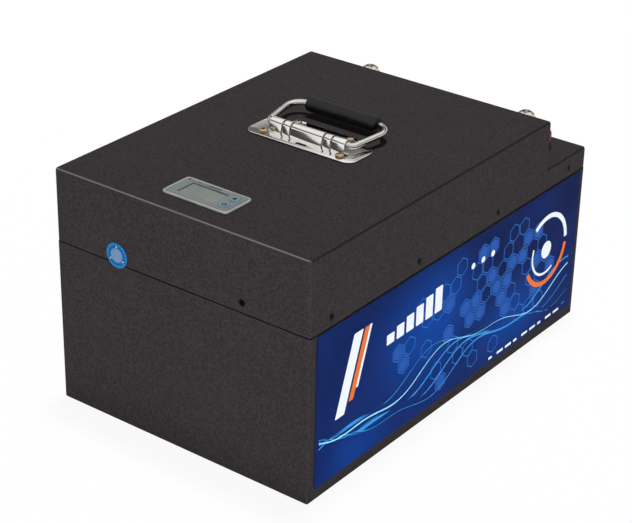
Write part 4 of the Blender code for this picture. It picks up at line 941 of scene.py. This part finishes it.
def make_meter():
    outer = rounded(rectangle(METER_LOW, METER_HIGH), METER_CORNER)
    opening = rounded(rectangle(*shrunk(METER_LOW, METER_HIGH, METER_RIM)), OPENING_CORNER)
    bezel = sheet("meter_bezel", [outer, opening], METER_HIGH.z - METER_SEAT, 0.0006, lifted(METER_SEAT))
    tray = shrunk(METER_LOW, METER_HIGH, TRAY_INSET)
    tray_hole = rectangle(*shrunk(*tray, TRAY_WALL))
    sides = sheet("tray_sides", [rectangle(*tray), tray_hole], METER_SEAT - METER_LOW.z + 0.001,
                  matrix=lifted(METER_LOW.z))
    middle = (METER_LOW + METER_HIGH) / 2
    lead_hole = rectangle(*shrunk(middle, middle, -LEAD_HOLE_HALF))
    floor = sheet("tray_floor", [rectangle(*tray), lead_hole], TRAY_WALL, matrix=lifted(METER_LOW.z))
    show(merged("meter_case", [bezel, sides, floor]), "meter_grey", stands_for=["meter_housing"])

    keys = ("scroll", "select")
    window = shrunk(DISPLAY_LOW, DISPLAY_HIGH, WINDOW_INSET)
    holes = [circle(BUTTON_HOLE_RADIUS, centre_of(key + "_button").xy) for key in keys]
    outlines = [rectangle(FACE_LOW, FACE_HIGH), rounded(rectangle(*window), WINDOW_INSET), *holes]
    film = sheet("meter_film", outlines, FACE_HIGH.z - FACE_LOW.z, 0.00008, lifted(FACE_LOW.z))
    show(film, "meter_film", stands_for=["meter_face"])

    level = FACE_HIGH.y - TICK_INSET
    ticks = [circle(SPOT_RADIUS, (FACE_LOW.x + TICK_INSET, level + SPOT_RADIUS), SMALL_ROUND)]
    for index in range(TICKS):
        x = FACE_LOW.x + TICK_START + index * TICK_PITCH
        width, tall = FINE_TICK if index < FINE_TICKS else BROAD_TICK
        ticks.append(rectangle((x, level), (x + width, level + tall)))
    marks = sheet("meter_ticks", ticks, PRINT / 2, matrix=lifted(FACE_HIGH.z))
    show(marks, "meter_film", finish=ink("meter_ink", srgb(30, 35, 40)))

    outlines = [rectangle(*window), rectangle(*shrunk(*window, WINDOW_LIP))]
    gasket = sheet("display_gasket", outlines, FACE_LOW.z + 0.0003 - DISPLAY_HIGH.z, 0.00005,
                   lifted(DISPLAY_HIGH.z))
    show(gasket, "seal_rubber", finish=ink("display_edge", srgb(98, 104, 104)))

    flange, flange_low, flange_high = BUTTON_FLANGE
    for key in keys:
        low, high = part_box(key + "_button")
        place = standing(key + "_button", 0)
        profile = rounded([
            (0, high.z), (0.0026, high.z - 0.00006), (BUTTON_RADIUS, high.z - 0.0003),
            (BUTTON_RADIUS, flange_high), (flange, flange_high), (flange, flange_low),
            (BUTTON_STEM, flange_low), (BUTTON_STEM, low.z), (0, low.z),
        ], [0, 0.0008, 0.00022, 0, 0.0001, 0.0001, 0, 0.0001, 0], closed=False)
        cap = lathe(key + "_cap", profile, matrix=place)
        show(cap, "meter_button", key + "_key", [key + "_button"])
        ring = sheet(key + "_ring", [circle(radius) for radius in KEY_RING], PRINT,
                     matrix=place @ lifted(high.z - 3 * PRINT))
        show(ring, "meter_button", key + "_key", finish=ink(key + "_ring", srgb(86, 150, 166)))
        if key == "scroll":
            corners = [(-SIGN_RADIUS, -SIGN_INNER), (SIGN_RADIUS, -SIGN_INNER), (0.0, SIGN_RADIUS)]
            sign = [rounded(corners, 0.0003)]
        else:
            sign = [circle(radius, steps=SMALL_ROUND) for radius in (SIGN_RADIUS, SIGN_INNER)]
        mark = sheet(key + "_sign", sign, PRINT, matrix=place @ lifted(high.z - PRINT / 2))
        show(mark, "meter_button", key + "_key", finish=ink(key + "_ink", srgb(12, 18, 26)))


# Handle

def along_hinge(name, outlines, start, end, edge=0.00025):
    """A (y, z) section about the hinge line, drawn out along x."""
    turn = Matrix(((0, 0, 1, start), (1, 0, 0, HINGE.y), (0, 1, 0, HINGE.z), (0, 0, 0, 1)))
    return sheet(name, outlines, end - start, edge, turn)


def hook(name, start, end):
    outline = arc_points(KNUCKLE_RADIUS, *HOOK_LIPS, 40) + arc_points(KNUCKLE_BORE, *HOOK_LIPS[::-1], 40)
    return along_hinge(name, [outline], start, end)


def make_handle_plate():
    low, high = PLATE_LOW.xy, PLATE_HIGH.xy
    middle = (low + high) / 2
    row = centre_of("handle_front_screw_1").y
    slot = rounded(rectangle((middle.x - SLOT_HALF[0], row - SLOT_HALF[1]),
                             (middle.x + SLOT_HALF[0], row + SLOT_HALF[1])), SLOT_ROUND, steps=8)
    step, left, right = low.y + PLATE_DEPTH, middle.x - TAB_HALF, middle.x + TAB_HALF
    corners = [tuple(low), (high.x, low.y), (high.x, step), (right, step), (right, high.y), (left, high.y),
               (left, step), (low.x, step)]
    bends = [PLATE_CORNER, PLATE_CORNER, PLATE_CORNER, 0, TAB_CORNER, TAB_CORNER, 0, PLATE_CORNER]
    pieces = [sheet("handle_base", [rounded(corners, bends, steps=14), slot], PLATE_SHEET,
                    0.0003, lifted(PLATE_TOP - PLATE_SHEET))]

    inner, outer = SMALL_KNUCKLE
    spans = [(-BARREL_HALF, -outer - KNUCKLE_GAP), (KNUCKLE_GAP - inner, inner - KNUCKLE_GAP),
             (outer + KNUCKLE_GAP, BARREL_HALF)]
    for index, (start, end) in enumerate(spans):
        pieces.append(hook(f"hook_{index}", middle.x + start, middle.x + end))
    for index, side in enumerate((-1, 1)):
        start, end = sorted((side * inner, side * outer))
        rings = [circle(KNUCKLE_RADIUS), circle(KNUCKLE_BORE)]
        pieces.append(along_hinge(f"knuckle_{index}", rings, middle.x + start, middle.x + end))
        spans.append((start, end))
    lean = math.radians(WALL_LEAN)
    foot_drop = PLATE_TOP - 0.0002 - HINGE.z
    tops = [(-radius * math.cos(lean), radius * math.sin(lean)) for radius in (KNUCKLE_RADIUS, KNUCKLE_BORE)]
    feet = [(y - (z - foot_drop) * math.tan(lean), foot_drop) for y, z in tops]
    front = [tops[0], *feet, tops[1]]
    for index, (start, end) in enumerate(spans):
        pieces.append(along_hinge(f"wall_{index}", [front], middle.x + start, middle.x + end, 0.0001))
    show(merged("handle_base", pieces), "nickel", stands_for=["handle_plate"])


def make_handle_screws():
    for row, radius in HANDLE_SCREWS.items():
        places = {}
        for index in (1, 2):
            node = f"handle_{row}_screw_{index}"
            places[node] = standing(node, PLATE_TOP + HEAD_GAP, 17 + 38 * index)
        copies(pan_head(f"{row}_pan", radius, *HANDLE_SCREW_SIZES), places, "screw_passivated")


def make_bail():
    swing = Matrix.Translation(HINGE) @ Matrix.Rotation(BAIL_TILT, 4, "X")
    corners = [(0, 0), (-LEG_ROOT, 0), (-LEG_FAR, BAIL_REACH), (LEG_FAR, BAIL_REACH), (LEG_ROOT, 0)]
    bends = [0, BAIL_ROOT_BEND, BAIL_CORNER_BEND, BAIL_CORNER_BEND, BAIL_ROOT_BEND]
    path = [(x, y, 0) for x, y in rounded(corners, bends, steps=20)]
    satin = metal("satin_nickel", (0.66, 0.65, 0.61), 0.20, (1, 1, 1), marks=900, spread=0.08)
    show(swept("bail_ring", path, WIRE_RADIUS, True, swing), "nickel", "bail", ["bail_wire"], satin)

    low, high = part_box("bail_grip")
    half = (high.x - low.x) / 2
    bore = WIRE_RADIUS + GRIP_PLAY
    lip = GRIP_RADIUS * 0.16
    waist = GRIP_RADIUS - GRIP_WAIST
    upper = [(bore, half), (GRIP_RADIUS, half), (GRIP_RADIUS, half - GRIP_RIM), (waist, half - GRIP_TAPER)]
    lower = [(radius, -height) for radius, height in reversed(upper)]
    profile = rounded(upper + lower, [0, lip, 0.001, 0.001, 0.001, 0.001, lip, 0])
    turn = swing @ Matrix.Translation((0, BAIL_REACH, 0)) @ Matrix.Rotation(math.pi / 2, 4, "Y")
    show(lathe("bail_sleeve", profile, ROUND, True, turn), "grip_rubber", "bail", ["bail_grip"])


# Terminals

def turned_ring(name, node, bore, outside, bends, slot, matrix):
    """A turned ring over the whole height of its node."""
    low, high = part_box(node)
    section = [(bore, high.z), (outside, high.z), (outside, low.z), (bore, low.z)]
    show(lathe(name, rounded(section, bends), ROUND, True, matrix), slot, stands_for=[node])


def make_terminals():
    for pole, slot in (("positive", "positive_red"), ("negative", "negative_black")):
        upright = standing(pole + "_post", 0)
        low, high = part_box(pole + "_insulator")
        radius = (high.x - low.x) / 2
        body = rounded([
            (INSULATOR_BORE, INSULATOR_TOP), (INSULATOR_COLLAR, INSULATOR_TOP),
            (INSULATOR_COLLAR, INSULATOR_SHOULDER), (radius, INSULATOR_SHOULDER), (radius, INSULATOR_BASE),
            (INSULATOR_SPIGOT, INSULATOR_BASE), (INSULATOR_SPIGOT, low.z), (INSULATOR_BORE, low.z),
        ], [0.0003, 0.0008, 0.0012, 0.0018, 0.0004, 0, 0.0003, 0.0003])
        show(lathe(pole + "_body", body, ROUND, True, upright), slot, stands_for=[pole + "_insulator"])
        turned_ring(pole + "_gasket", pole + "_post_seal", GASKET_BORE, radius,
                    [0.0003, 0.0010, 0.0010, 0.0003], "seal_rubber", upright)
        low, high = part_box(pole + "_post")
        floor, neck = low.z + THREAD_FLOOR, high.z - POST_HEAD
        post = rounded([
            (0, floor), (POST_THREAD, floor), (POST_THREAD, high.z), (POST_HEAD_RADIUS, high.z),
            (POST_HEAD_RADIUS, neck), (POST_RADIUS, neck), (POST_RADIUS, low.z), (0, low.z),
        ], [0, 0, 0.0003, 0.0004, 0.0003, 0, 0.0005, 0], closed=False)
        show(lathe(pole + "_stud", post, matrix=upright), "brass", stands_for=[pole + "_post"])
        turned_ring(pole + "_washer", pole + "_flat_washer", POST_THREAD, WASHER_RADIUS,
                    [0.0002, 0.0003, 0.0001, 0.0001], "terminal_steel", upright)
    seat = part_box("positive_flat_washer")[1].z + HEAD_GAP
    bolts = ("positive_bolt", "negative_bolt")
    places = {node: standing(node, seat, 20 + 31 * index) for index, node in enumerate(bolts)}
    copies(pan_head("terminal_bolt", *BOLT_SIZES), places, "terminal_steel")


make_lid()
make_case()
make_lid_screws()
make_label()
make_seal()
make_meter()
make_handle_plate()
make_handle_screws()
make_bail()
make_terminals()

# Nodes that keep their own shape take the finish of their slot
for part in RECORD["subparts"]:
    node = NODES[part["node"]]
    node.data.materials.clear()
    node.data.materials.append(FINISHES[part["material_slot"]].material)


# Stage: pale floor, soft lamps and the camera

# Heights in the sky between which the dim band comes and goes, as the sine of their angle
BAND_LOW = (0.16, 0.28)
BAND_HIGH = (0.50, 0.62)
SKY_LIGHT = 0.10
BAND_LIGHT = 0.15
FLOOR_WHITE = 0.93

# Lamps: a key overhead and low panels at each side, just above the lid's plane; watts
KEY_PLACE, KEY_TARGET = (-0.10, 0.42, 4.25), (0, 0, 0.15)
KEY_SIZE, KEY_POWER = (0.5, 0.5), 159
FILL_LEVEL, FILL_TARGET, FILL_SIZE = 0.235, (0, 0, 0.1), (1.2, 0.08)
FILLS = {"front_fill": (0.2, -2.2, 26), "side_fill": (2.2, -0.3, 24),
         "rear_fill": (-0.2, 2.2, 24), "left_fill": (-2.2, 0.3, 24)}

# Camera: its angles in degrees
LENS, SENSOR = 108.186, 36.0
HEADING, PITCH, ROLL = 36.762, 27.420, 1.210
CAMERA_PLACE = (0.79993, -1.09155, 0.78590)


def mix_for_looking(tree, plain, seen, output, share=1.0):
    """Mix a share of one shader over another for camera, glossy and transmission rays only."""
    path = tree.nodes.new("ShaderNodeLightPath")
    total = path.outputs["Is Camera Ray"]
    for operation, other in (("MAXIMUM", path.outputs["Is Glossy Ray"]),
                             ("MAXIMUM", path.outputs["Is Transmission Ray"]), ("MULTIPLY", None)):
        made = tree.nodes.new("ShaderNodeMath")
        made.operation = operation
        tree.links.new(total, made.inputs[0])
        if other:
            tree.links.new(other, made.inputs[1])
        else:
            made.inputs[1].default_value = share
        total = made.outputs[0]
    mix = tree.nodes.new("ShaderNodeMixShader")
    for source, target in zip((total, plain.outputs[0], seen.outputs[0]), mix.inputs):
        tree.links.new(source, target)
    tree.links.new(mix.outputs[0], tree.nodes[output].inputs["Surface"])


def make_world(strength, dim):
    """White backdrop and ceiling with a dim band between them, and even light for matt surfaces."""
    world = bpy.data.worlds.new("studio")
    bpy.context.scene.world = world
    world.use_nodes = True
    tree = world.node_tree
    soft = tree.nodes["Background"]
    soft.inputs["Strength"].default_value = strength
    soft.inputs["Color"].default_value = (1, 1, 1, 1)
    seen = tree.nodes.new("ShaderNodeBackground")
    height = tree.nodes.new("ShaderNodeSeparateXYZ")
    tree.links.new(tree.nodes.new("ShaderNodeTexCoord").outputs["Generated"], height.inputs[0])
    bands = tree.nodes.new("ShaderNodeValToRGB")
    levels = zip((0.0, *BAND_LOW, *BAND_HIGH), (1.0, 1.0, dim, dim, 1.0))
    set_stops(bands, [(place, (level, level, level)) for place, level in levels])
    tree.links.new(height.outputs["Z"], bands.inputs["Fac"])
    tree.links.new(bands.outputs["Color"], seen.inputs["Color"])
    mix_for_looking(tree, soft, seen, "World Output")


def make_floor(lift):
    """A pale floor: white to the eye, and it keeps a faint shadow."""
    bm = bmesh.new()
    bmesh.ops.create_grid(bm, x_segments=8, y_segments=8, size=6.0)
    floor = add("floor", mesh_of("floor", bm), lifted(-0.0005))
    finish = Finish("pale_floor", (0.86, 0.86, 0.86), 0.9, specular=0.0)
    glow = finish.node("ShaderNodeEmission")
    glow.inputs["Color"].default_value = (1, 1, 1, 1)
    mix_for_looking(finish.tree, finish.shader, glow, "Material Output", lift)
    floor.data.materials.append(finish.material)


def make_lamp(name, place, target, size, power):
    lamp = bpy.data.lights.new(name, "AREA")
    lamp.shape = "RECTANGLE"
    lamp.size, lamp.size_y = size
    lamp.energy = power
    obj = add(name, lamp)
    obj.location = place
    obj.rotation_euler = (Vector(target) - Vector(place)).to_track_quat("-Z", "Y").to_euler()
    obj.visible_glossy = False
    obj.visible_camera = False


def make_camera():
    camera = bpy.data.cameras.new("camera")
    camera.sensor_width = SENSOR
    camera.lens = LENS
    camera.clip_end = 20.0
    heading, pitch, roll = (math.radians(angle) for angle in (HEADING, PITCH, ROLL))
    turn = (Matrix.Rotation(heading, 4, "Z") @ Matrix.Rotation(math.pi / 2 - pitch, 4, "X")
            @ Matrix.Rotation(roll, 4, "Z"))
    bpy.context.scene.camera = add("camera", camera, Matrix.Translation(CAMERA_PLACE) @ turn)


make_world(SKY_LIGHT, BAND_LIGHT)
make_floor(FLOOR_WHITE)
make_lamp("key", KEY_PLACE, KEY_TARGET, KEY_SIZE, KEY_POWER)
for fill, (x, y, power) in FILLS.items():
    make_lamp(fill, (x, y, FILL_LEVEL), FILL_TARGET, FILL_SIZE, power)
make_camera()
bpy.context.scene.view_settings.view_transform = "Standard"
